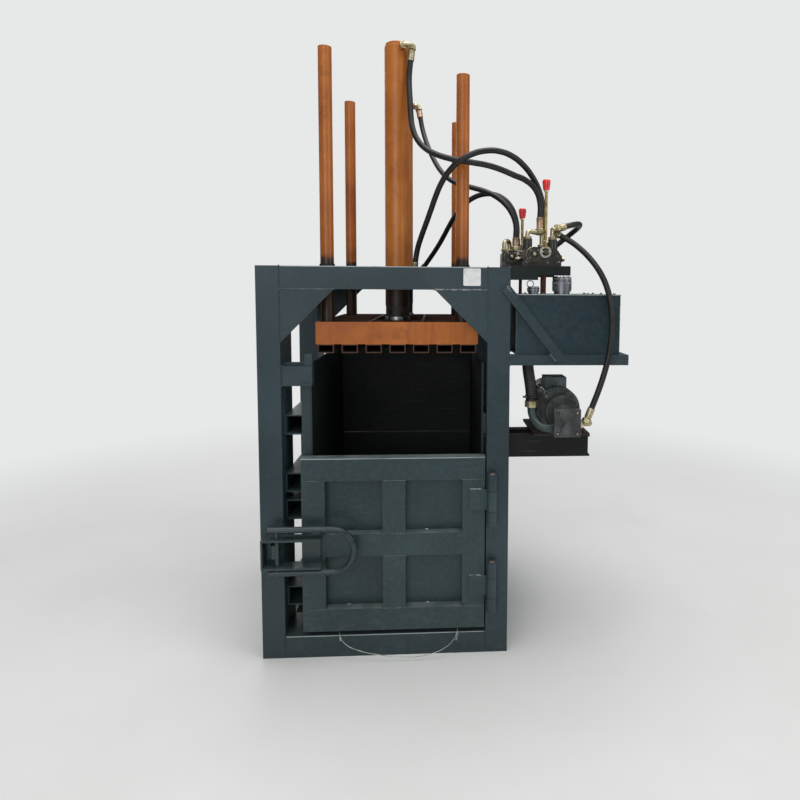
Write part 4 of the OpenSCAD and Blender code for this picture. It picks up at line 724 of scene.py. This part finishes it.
def hoseEnds(name, rows, body, replaced, bridges=()):
    # ferrules and nuts are turned shapes on the hose's own end direction
    runs = []
    ferrules = {}
    nuts = bmesh.new()
    for hoseName, end, ferruleLength, route, look in rows:
        points = [Vector(point) for point in hoses[hoseName]["points"]]
        place, inner = (points[0], points[1]) if end == 0 else (points[-1], points[-2])
        ahead = (place - inner).normalized()
        wide = fittings["ferrule"]
        crimp = [(0.0131, -0.002), (wide * 0.93, -0.002), (wide, 0.001)]
        bands = max(2, round(ferruleLength / 0.009))
        for band in range(bands):
            low = 0.003 + band * (ferruleLength - 0.006) / bands
            high = 0.003 + (band + 1) * (ferruleLength - 0.006) / bands
            groove = wide - 0.0012
            crimp += [(wide, low), (wide, high - 0.0022), (groove, high - 0.0016), (groove, high - 0.0006)]
        crimp += [(wide, ferruleLength - 0.002), (wide * 0.9, ferruleLength)]
        crimp.append((fittings["pipe"] / 2, ferruleLength))
        shape = ferrules.setdefault(look, bmesh.new())
        turned(shape, crimp, place, ahead)
        tip = place + ahead * ferruleLength
        turned(shape, [(0.0121, -0.001), (0.0121, 0.004)], tip, ahead)
        hexagon(nuts, tip + ahead * 0.002, ahead, fittings["nut"], fittings["nutDepth"], 0.0018)
        turned(nuts, [(0.0125, 0), (0.0148, 0.001), (0.0148, 0.005), (0.0112, 0.007)],
               tip + ahead * (fittings["nutDepth"] + 0.0015), ahead)
        route = [Vector(point) for point in route]
        runs.append([tip + ahead * 0.010, tip + ahead * 0.024] + route)
        last = route[-1]
        along = (last - route[-2]).normalized() if len(route) > 1 else ahead
        # swivel nut where the pipe screws into its port
        hexagon(nuts, last - along * 0.016, along, 0.034, 0.015, 0.0018)
    for bridge in bridges:
        # short pipe from port to port, with a nut at each foot
        runs.append(bridge)
        for foot in (bridge[0], bridge[-1]):
            hexagon(nuts, (foot[0], foot[1], foot[2] + 0.004), (0, 0, 1), 0.030, 0.013, 0.0016)
    pipes = bentPipe(name + "Pipes", runs, fittings["pipe"], fittings["bend"])
    dress(pipes, "zincPlate")
    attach(pipes, body)
    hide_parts(replaced)
    newPiece(name + "Nuts", nuts, "zincPlate", body, False)
    for look, shape in ferrules.items():
        splitEdges(newPiece(name + "Ferrules" + look, shape, look, body), 40)


hoseEnds("barrelFitting", fittings["barrelEnds"], "frame", "cylinder_fittings")
hoseEnds("valveFitting", fittings["valveEnds"], "frame", "valve_fittings", fittings["bridges"])
print("hose ends turned")

# suction hose: wound ribs, band clamps and its screw nut
suction = {"ribPitch": 0.0085, "ribRadius": 0.0021, "hose": 0.0250, "sunk": 0.0243,
           "clampWidth": 0.014, "clampRadius": 0.0278, "clampSunk": 0.0245}


def alongHose(hoseName, step):
    # evenly spaced places and directions on a hose's own line
    shown = hosePieces[hoseName].data.copy()
    shown.bevel_depth = 0
    bare = placed("bareLine", shown)
    bpy.context.view_layer.update()
    mesh = bare.to_mesh()
    line = [vertex.co.copy() for vertex in mesh.vertices]
    bare.to_mesh_clear()
    bpy.data.objects.remove(bare)
    spots = []
    travelled, wanted = 0.0, 0.0
    for before, after in zip(line, line[1:]):
        reach = (after - before).length
        while reach > 0 and wanted <= travelled + reach:
            spots.append((before.lerp(after, (wanted - travelled) / reach), (after - before).normalized()))
            wanted += step
        travelled += reach
    return spots


ribs = bmesh.new()
suctionLine = alongHose("suctionHose", suction["ribPitch"])
shoulder = suction["hose"] + suction["ribRadius"] * 0.6
ribProfile = [(suction["sunk"], -0.003), (shoulder, -0.0016), (suction["hose"] + suction["ribRadius"], 0),
              (shoulder, 0.0016), (suction["sunk"], 0.003)]
for place, ahead in suctionLine:
    turned(ribs, ribProfile, place, ahead)
newPiece("suctionHoseRibs", ribs, "hoseRubber", "frame")

clamps = bmesh.new()
clampScrews = bmesh.new()
for place, ahead in (suctionLine[1], suctionLine[3], suctionLine[-3]):
    half, wide, sunk = suction["clampWidth"] / 2, suction["clampRadius"], suction["clampSunk"]
    turned(clamps, [(sunk, -half), (wide, -half), (wide, half), (sunk, half)], place, ahead, 36)
    screw = place + Vector((-1, -0.4, 0)).normalized() * (wide + 0.003) + Vector((-0.012, 0, 0))
    hexagon(clampScrews, screw, (1, 0, 0.02), 0.009, 0.020, 0.001)
newPiece("suctionClampBands", clamps, "blackSteel", "frame", False)
newPiece("suctionClampScrews", clampScrews, "boltSteel", "frame", False)
print("suction hose finished:", len(suctionLine), "ribs")

# weld beads: rows of small overlapping drops, body by body
welds = {"pitch": 0.0052, "width": 0.0042, "height": 0.0021, "flush": 0.0007, "seed": 7}
portal = {"face": 0.5, "columnBack": 0.30, "inner": 0.45, "outer": 0.55, "top": 1.757, "beamLow": 1.657,
          "gussetLow": 1.425, "gussetLeg": 0.232, "baseTop": 0.1, "foot": 0.008}


def weldBead(shape, start, end, outward, width=None, height=None):
    start, end, outward = Vector(start), Vector(end), Vector(outward).normalized()
    width = width or welds["width"]
    height = height or welds["height"]
    count = max(2, int((end - start).length / welds["pitch"]))
    along = (end - start).normalized()
    side = outward.cross(along)
    for drop in range(count + 1):
        place = start.lerp(end, drop / count) + side * random.uniform(-0.0005, 0.0005)
        size = random.uniform(0.85, 1.15)
        frameOf = Matrix((along * welds["pitch"] * 0.95 * size, side * width * size, outward * height * size))
        bmesh.ops.create_icosphere(shape, subdivisions=1, radius=1.0,
                                   matrix=Matrix.Translation(place) @ frameOf.transposed().to_4x4())


random.seed(welds["seed"])
frameWelds = bmesh.new()
flushWelds = bmesh.new()  # ground joints of the beams, barely proud
for back in (-1, 1):
    face, deep, tip = back * portal["face"], back * portal["columnBack"], back * 0.49
    out = (0, back, 0)
    for side in (-1, 1):
        inner, outer = side * portal["inner"], side * portal["outer"]
        for low, high in (("beamLow", "top"), ("foot", "baseTop"), ("gussetLow", "beamLow")):
            weldBead(flushWelds, (inner, face, portal[low]), (inner, face, portal[high]), out,
                     0.003, welds["flush"])
        beam, base, gussetEnd = portal["beamLow"], portal["baseTop"], inner - side * portal["gussetLeg"]
        weldBead(frameWelds, (inner, face, beam), (gussetEnd, face, beam), out, 0.0036)
        weldBead(frameWelds, (inner, deep, beam), (inner, tip, beam), (-side, 0, -1))
        weldBead(frameWelds, (inner, deep, base), (inner, tip, base), (-side, 0, 1))
        weldBead(frameWelds, (inner, deep, beam), (inner, deep, portal["top"]), (0, -back, 0))
        for low, high in (("foot", "baseTop"), ("beamLow", "top")):
            weldBead(frameWelds, (outer, deep, portal[low]), (outer, deep, portal[high]), (side, -back, 0))
knuckles = {-1: ((0.606, 0.672), (0.765, 0.838), (0.207, 0.275), (0.365, 0.437)),
            1: ((0.520, 0.586), (0.679, 0.752), (0.207, 0.275), (0.365, 0.437))}
for back, spans in knuckles.items():
    for low, high in spans:
        for side in (-1, 1):
            weldBead(frameWelds, (0.474 + side * 0.012, back * 0.5, low + 0.003),
                     (0.474 + side * 0.012, back * 0.5, high - 0.003), (side, back, 0))
# shelf, brace and motor channels on the right column, keeper on the left one
for y in (-0.5, -0.454):
    weldBead(frameWelds, (0.551, y, 1.324), (0.551, y, 1.364), (1, -0.3, 0))
weldBead(frameWelds, (0.551, -0.49, 1.757), (0.551, -0.30, 1.757), (1, 0, -1))
for y in (-0.47, -0.35):
    for z in (0.902, 1.0):
        weldBead(frameWelds, (0.551, y, z), (0.551, y + 0.048, z), (1, 0, 1 if z > 0.95 else -1))
weldBead(frameWelds, (0.537, -0.508, 1.689), (0.549, -0.508, 1.638), (-0.3, -1, 0))
weldBead(frameWelds, (0.729, -0.508, 1.374), (0.752, -0.508, 1.345), (0, -1, 0.2))
for back in (-1, 1):
    weldBead(frameWelds, (-0.510, back * 0.5, 0.480), (-0.510, back * 0.5, 0.552), (-1, back, 0))
# tank seams and the feed bracket
for x in (0.578, 1.045):
    weldBead(frameWelds, (x, -0.487, 1.372), (x, -0.487, 1.634), (1 if x > 0.8 else -1, -1, 0), 0.003)
for z in (1.234, 1.321):
    weldBead(frameWelds, (-0.449, -0.492, z), (-0.449, -0.450, z), (1, 0, -1 if z < 1.3 else 1))
newPiece("frameWeldBeads", frameWelds, "weldEnamel", "frame")
newPiece("frameFlushWelds", flushWelds, "frameEnamel", "frame")

# pale, metallic-looking weld beads
brightWelds = bmesh.new()
weldBead(brightWelds, (0.215, -0.5, 1.657), (0.445, -0.5, 1.657), (0, -1, 0), 0.0046)
weldBead(brightWelds, (0.536, -0.508, 1.672), (0.548, -0.508, 1.650), (-0.3, -1, 0), 0.0050)
newPiece("frameBrightWelds", brightWelds, "weldBright", "frame")

doorEdges = {"front_door": (-1, 0.912, ((0.673, 0.764), (0.276, 0.364))),
             "rear_door": (1, 0.797, ((0.587, 0.678), (0.276, 0.364)))}
for body, (back, top, leaves) in doorEdges.items():
    doorWelds = bmesh.new()
    face = back * 0.502
    middle = (0.120 + top) / 2
    for low, high in leaves:
        for start, end, out in (((0.376, low), (0.442, low), (0, back, -1)),
                                ((0.376, high), (0.442, high), (0, back, 1)),
                                ((0.375, low), (0.375, high), (-1, back, 0))):
            weldBead(doorWelds, (start[0], face, start[1]), (end[0], face, end[1]), out)
    # ground joints of the grid's bars, one short bead in each corner of a window
    for x in (-0.268, -0.014, 0.088, 0.342):
        for z in (0.222, middle - 0.051, middle + 0.051, top - 0.102):
            weldBead(doorWelds, (x, face - back * 0.004, z), (x, face - back * 0.042, z), (0.7, 0, 0.7),
                     0.003)
    for low, high in ((-0.368, -0.270), (-0.012, 0.086), (0.344, 0.442)):
        levels = [0.222, top - 0.102] + ([middle - 0.051, middle + 0.051] if low == -0.012 else [])
        for z in levels:
            weldBead(doorWelds, (low, face, z), (high, face, z), (0, back, 0), 0.0022)
    for side in (-1, 1):
        level = 0.5085 + side * 0.067
        weldBead(doorWelds, (-0.325, face, level), (-0.290, face, level), (0, back, side), 0.005)
    newPiece(body.replace("_d", "D") + "WeldBeads", doorWelds, "weldEnamel", body)
    brightWelds = bmesh.new()
    for low, high in leaves:
        level = high + 0.002
        weldBead(brightWelds, (0.378, face, level), (0.424, face, level), (0, back, 0.4), 0.0058)
    for z in (0.4515, 0.5645):
        weldBead(brightWelds, (-0.366, face, z), (-0.290, face, z), (0, back, 1 if z < 0.5 else -1), 0.0052)
    if back < 0:
        for x, z in ((0.182, middle + 0.053), (-0.170, 0.224), (0.187, 0.224)):
            weldBead(brightWelds, (x - 0.004, -0.463, z), (x + 0.004, -0.463, z), (0, back, 1),
                     0.0046, 0.0034)
    newPiece(body.replace("_d", "D") + "BrightWelds", brightWelds, "weldBright", body)
print("welds laid")

# rolled rim and pressed dimples of the tank's two caps, near white: painted highlights of the chrome
caps = {"breather": {"at": (0.799, -0.400), "rim": (0.0442, 1.7105), "dots": (0.0425, 1.6905, 28)},
        "filler": {"at": (0.667, -0.400), "rim": (0.0262, 1.6715), "dots": (0.0262, 1.6600, 20)}}
capTrim = bmesh.new()
for cap in caps.values():
    x, y = cap["at"]
    wide, level = cap["rim"]
    turned(capTrim, [(wide - 0.004, -0.0035), (wide - 0.0012, -0.003), (wide, -0.001), (wide, 0.001),
                     (wide - 0.0012, 0.003), (wide - 0.004, 0.0035)], (x, y, level), (0, 0, 1), 48)
    wide, level, count = cap["dots"]
    for dot in range(count):
        angle = math.tau * (dot + 0.5) / count
        bmesh.ops.create_icosphere(capTrim, subdivisions=2, radius=0.0030, matrix=Matrix.Translation(
            (x + math.cos(angle) * wide, y + math.sin(angle) * wide, level)))
newPiece("capTrim", capTrim, "capRimHighlight", "frame")

# bolts and screws, body by body
press = {"x": 0.038, "y": 0.227, "bridge": (0.0745, 1.710), "plate": (0.048, 1.528)}
valves = {"corners": ((0.614, -0.450), (0.540, -0.245)), "cap": (0.044, 1.817), "capOut": 0.020,
          "base": 1.765, "side": 1.800}

# upright bolts of the tank's lid, the motor's feet and its base plate; size is width and head
boltRows = {
    "lidSides": {"x": (0.60, 0.70, 0.80, 0.90, 1.02), "y": (-0.478, 0.058), "z": 1.640,
                 "size": (0.010, 0.005)},
    "lidEnds": {"x": (0.588, 1.036), "y": (-0.36, -0.21, -0.06), "z": 1.640, "size": (0.010, 0.005)},
    "motorFeet": {"x": (0.704, 0.880), "y": (-0.350, -0.210), "z": 1.024, "size": (0.013, 0.008)},
    "basePlate": {"x": (0.680, 0.904), "y": (-0.452, -0.334), "z": 1.010, "size": (0.013, 0.008)},
}
# the pump's four screws and those of its bell housing, facing forward
drive = {"x": 0.792, "squares": (
    {"half": (0.043, 0.0455), "y": -0.599, "z": 1.083, "size": (0.010, 0.006)},
    {"half": (0.060, 0.060), "y": -0.4238, "z": 1.110, "size": (0.012, 0.007)})}


def boltRing(shape, centre, radius, turns, across, head):
    # upright bolts on a level circle
    x, y, z = centre
    for turn in turns:
        angle = math.radians(turn)
        bolt(shape, (x + math.cos(angle) * radius, y + math.sin(angle) * radius, z), (0, 0, 1), across, head)


frameBolts = bmesh.new()
radius, level = press["bridge"]
for y in (-press["y"], press["y"]):
    boltRing(frameBolts, (press["x"], y, level), radius, (20, 28, -20, 160, 200, 180), 0.019, 0.010)
for row in boltRows.values():
    for x in row["x"]:
        for y in row["y"]:
            bolt(frameBolts, (x, y, row["z"]), (0, 0, 1), *row["size"])
for row in drive["squares"]:
    for side in (-1, 1):
        for rise in (-1, 1):
            spot = (drive["x"] + side * row["half"][0], row["y"], row["z"] + rise * row["half"][1])
            bolt(frameBolts, spot, (0, -1, 0), *row["size"])
boltRing(frameBolts, (*caps["breather"]["at"], 1.7180), 0.031, range(30, 390, 60), 0.0055, 0.003)
# valve feet, end plates and spool caps
capX, capZ = valves["cap"]
for corner in valves["corners"]:
    for dx in (0.012, 0.156):
        for dy in (-0.004, 0.090):
            bolt(frameBolts, (corner[0] + dx, corner[1] + dy, 1.779), (0, 0, 1), 0.012, 0.008)
    for turn in (45, 135, 225, 315):
        angle = math.radians(turn)
        x, z = capX + math.cos(angle) * 0.0235, capZ + math.sin(angle) * 0.0235
        bolt(frameBolts, (corner[0] + x, corner[1] - valves["capOut"], z), (0, -1, 0), 0.007, 0.005)
    for dx, dz in ((0.108, 0.014), (0.150, 0.014), (0.150, 0.044)):
        bolt(frameBolts, (corner[0] + dx, corner[1], valves["base"] + dz), (0, -1, 0), 0.010, 0.007)
newPiece("frameBolts", frameBolts, "boltSteel", "frame", False)

plateBolts = bmesh.new()
radius, level = press["plate"]
for y in (-press["y"], press["y"]):
    boltRing(plateBolts, (press["x"], y, level), radius, range(30, 390, 60), 0.013, 0.008)
newPiece("plateBolts", plateBolts, "boltSteel", "press", False)
print("bolts set")

# valves: plugs, relief screws, gasket rings and gland nuts
valveTrim = bmesh.new()
brightTrim = bmesh.new()
for cornerX, cornerY in valves["corners"]:
    front, middle = cornerY - valves["capOut"], cornerX + capX
    turned(brightTrim, [(0.0335, 0), (0.0352, 0.001), (0.0352, 0.004), (0.0335, 0.005)],
           (middle, cornerY - 0.0008, capZ), (0, -1, 0), 40)
    turned(valveTrim, [(0, 0), (0.014, 0), (0.014, 0.006), (0.010, 0.010), (0, 0.010)],
           (middle, front, capZ), (0, -1, 0))
    hexagon(brightTrim, (middle, front - 0.009, capZ), (0, -1, 0), 0.013, 0.008)
    if cornerX > 0.6:
        # relief screw with its lock nut on the front valve's left side
        hexagon(valveTrim, (cornerX + 0.001, cornerY + 0.052, valves["side"]), (-1, 0, 0), 0.024, 0.012)
        turned(brightTrim, [(0.0, 0), (0.006, 0), (0.006, 0.020), (0.004, 0.022), (0, 0.022)],
               (cornerX - 0.010, cornerY + 0.052, valves["side"]), (-1, 0, 0), 20)
        hexagon(brightTrim, (cornerX - 0.014, cornerY + 0.052, valves["side"]), (-1, 0, 0), 0.016, 0.007)
    # stepped end cover on the right, with a plug
    turned(valveTrim, [(0.021, 0), (0.021, 0.006), (0.017, 0.008), (0.017, 0.010), (0.0, 0.010)],
           (cornerX + 0.168, cornerY + 0.045, valves["side"]), (1, 0, 0))
hexagon(brightTrim, (0.7940, -0.405, valves["side"]), (1, 0, 0), 0.022, 0.013)
newPiece("valveTrimDark", valveTrim, "oilyCasting", "frame", False)
newPiece("valveTrimBright", brightTrim, "zincPlate", "frame", False)

# nuts at the foot of each lever and under its grip, and washers on its pin
levers = {"front_control": (0.704, -0.488, 2.140), "rear_control": (0.630, -0.283, 2.042)}
for body, (x, y, top) in levers.items():
    trim = bmesh.new()
    hexagon(trim, (x, y, 1.866), (0, 0, 1), 0.021, 0.010)
    hexagon(trim, (x, y, top - 0.054), (0, 0, 1), 0.019, 0.008)
    for side in (-1, 1):
        turned(trim, [(0.004, 0), (0.009, 0), (0.009, 0.004), (0.006, 0.006), (0.004, 0.006)],
               (x + side * 0.0150, y, 1.826), (side, 0, 0), 20)
    newPiece(body.replace("_c", "C") + "Nuts", trim, "zincPlate", body, False)
print("valve trim made")

# dark rings where the knuckles of each hinge meet
hinge = {"x": 0.474, "out": 0.024, "radius": 0.0226, "joints": {-1: (0.2755, 0.3645, 0.6725, 0.7645),
                                                               1: (0.2755, 0.3645, 0.5865, 0.6785)}}
hingeJointRings = bmesh.new()
smear = [(0.0205, -0.0024), (0.0219, -0.0024), (hinge["radius"], 0), (0.0219, 0.0024), (0.0205, 0.0024)]
for back, levels in hinge["joints"].items():
    for level in levels:
        turned(hingeJointRings, smear, (hinge["x"], back * (portal["face"] + hinge["out"]), level), (0, 0, 1), 40)
newPiece("hingeJointRings", hingeJointRings, "collarPlastic", "frame")

# round bars and pipes of the CAD, merged and shaded smooth
rounded = {"suction_pipe": ("suctionPipeRound", "suctionEnamel", "frame", "zinc_steel"),
           "return_pipes": ("returnPipesRound", "rustyPipe", "frame", "rusty_steel"),
           "front_latch_handle": ("frontHandleRound", "handleEnamel", "front_latch", "frame_paint"),
           "rear_latch_handle": ("rearHandleRound", "handleEnamel", "rear_latch", "frame_paint")}
for node, (name, finishName, body, slotName) in rounded.items():
    shape = bmesh.new()
    shape.from_mesh(nodes[node].data)
    piece = newPiece(name, shape, finishName, body)
    splitEdges(piece, 38)
    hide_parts(node)
print("hinges greased, round parts smoothed")

# bare white plate at the right of the top beam
plate = {"low": (0.342, 1.675), "high": (0.418, 1.751), "thick": 0.0006}
label = bmesh.new()
bmesh.ops.create_cube(label, size=1.0)
wide = plate["high"][0] - plate["low"][0]
tall = plate["high"][1] - plate["low"][1]
bmesh.ops.scale(label, vec=(wide, plate["thick"], tall), verts=label.verts)
upright = [edge for edge in label.edges if abs(edge.verts[0].co.y - edge.verts[1].co.y) > plate["thick"] / 2]
bmesh.ops.bevel(label, geom=upright, offset=0.005, offset_type="OFFSET", segments=4, profile=0.5,
                affect="EDGES", material=-1, clamp_overlap=True)
bmesh.ops.translate(label, verts=label.verts, vec=(plate["low"][0] + wide / 2, -0.5 - plate["thick"] / 2,
                                                  plate["low"][1] + tall / 2))
newPiece("bareLabelPlate", label, "barePlate", "frame", False)
print("bare plate stuck on")

# twisted ends of the baling wire: where each starts, and the way it points
twist = {"turns": 7, "steps": 10, "reach": 0.030, "radius": 0.0034, "wire": 0.0022,
         "ends": (((-0.2125, -0.4895, 0.0985), (0.35, -0.62, -0.95)),
                  ((0.3232, -0.4990, 0.0935), (-0.3, -0.62, -0.95)))}
coil = roundCurve("wireTwist", 2)
for phase in (0, math.pi):
    for start, lead in twist["ends"]:
        lie = aimed(start, lead)
        count = twist["turns"] * twist["steps"]
        path = []
        for number in range(count + 1):
            share = number / count
            angle = share * twist["turns"] * math.tau + phase
            x, y = math.cos(angle) * twist["radius"], math.sin(angle) * twist["radius"]
            path.append(lie @ Vector((x, y, share * twist["reach"])))
        addRun(coil, path, twist["wire"])
wireTwist = placed("wireTwist", coil)
dress(wireTwist, "wireSteel")
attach(wireTwist, "front_door")
print("wire twisted")
# plain pale floor, soft studio light
stage = {"half": 30.0, "floor": (243, 243, 241), "spots": (237, 237, 234), "back": (231, 232, 232),
         "world": 0.23, "sky": (0.93, 0.96, 1.0, 1), "fadeFrom": 1.5, "fadeTo": 5.0}
ground = bmesh.new()
bmesh.ops.create_grid(ground, x_segments=8, y_segments=8, size=stage["half"])
groundMesh = bpy.data.meshes.new("studioFloor")
ground.to_mesh(groundMesh)
ground.free()
floor = placed("studioFloor", groundMesh)
floor.location = (0, 0, -0.0006)
floorFinish = Finish("paleFloor", Specular_IOR_Level=0.2)
patches = floorFinish.step(floorFinish.cloud(0.7, 4), 0.35, 0.7)
floorFinish.link(Base_Color=floorFinish.mix(patches, tone(*stage["floor"]), tone(*stage["spots"])))
floorFinish.link(Roughness=floorFinish.step(floorFinish.cloud(3, 3), 0.3, 0.7, 0.75, 0.9))
fade = floorFinish.node("ShaderNodeVectorMath", {"operation": "LENGTH"}, {0: floorFinish.place}, "Value")
watched = floorFinish.node("ShaderNodeLightPath", out="Is Camera Ray")
far = floorFinish.node("ShaderNodeEmission", {}, {"Color": tone(*stage["back"]), "Strength": 1.0})
blend = floorFinish.tree.nodes.new("ShaderNodeMixShader")
away = floorFinish.step(fade, stage["fadeFrom"], stage["fadeTo"]) * watched
floorFinish.tree.links.new(away.socket, blend.inputs[0])
floorFinish.tree.links.new(floorFinish.shader.outputs[0], blend.inputs[1])
floorFinish.tree.links.new(far.socket, blend.inputs[2])
floorFinish.tree.links.new(blend.outputs[0], floorFinish.tree.nodes["Material Output"].inputs[0])
floor.data.materials.append(floorFinish.material)

world = bpy.data.worlds.new("studioWorld")
bpy.context.scene.world = world
world.use_nodes = True
sky = world.node_tree
lightPath = sky.nodes.new("ShaderNodeLightPath")
shine = sky.nodes["Background"]
shine.inputs["Color"].default_value = stage["sky"]
shine.inputs["Strength"].default_value = stage["world"]
backdrop = sky.nodes.new("ShaderNodeBackground")
backdrop.inputs["Color"].default_value = tone(*stage["back"])
backdrop.inputs["Strength"].default_value = 1.0
seen = sky.nodes.new("ShaderNodeMath")
seen.operation = "MAXIMUM"
sky.links.new(lightPath.outputs["Is Camera Ray"], seen.inputs[0])
sky.links.new(lightPath.outputs["Is Transmission Ray"], seen.inputs[1])
choose = sky.nodes.new("ShaderNodeMixShader")
sky.links.new(seen.outputs[0], choose.inputs[0])
sky.links.new(shine.outputs[0], choose.inputs[1])
sky.links.new(backdrop.outputs[0], choose.inputs[2])
sky.links.new(choose.outputs[0], sky.nodes["World Output"].inputs[0])

lamps = {
    "overheadLamp": {"place": (0.3, -0.6, 5.4), "aim": (0.1, 0, 1.0), "size": 4.6, "power": 190},
    "frontLamp": {"place": (-1.0, -6.0, 3.1), "aim": (0.1, 0, 1.2), "size": 3.6, "power": 80},
    "rightLamp": {"place": (5.2, -2.8, 3.0), "aim": (0.3, 0, 1.4), "size": 3.0, "power": 48},
    "backLamp": {"place": (-1.5, 5.2, 3.6), "aim": (0, 0, 1.2), "size": 3.4, "power": 60},
}
for name, lamp in lamps.items():
    glow = bpy.data.lights.new(name, "AREA")
    glow.size = lamp["size"]
    glow.energy = lamp["power"]
    holder = placed(name, glow)
    holder.matrix_world = aimed(lamp["place"], Vector(lamp["place"]) - Vector(lamp["aim"]))
bpy.context.scene.view_settings.view_transform = "Standard"
print("studio lit")


bpy.context.view_layer.update()
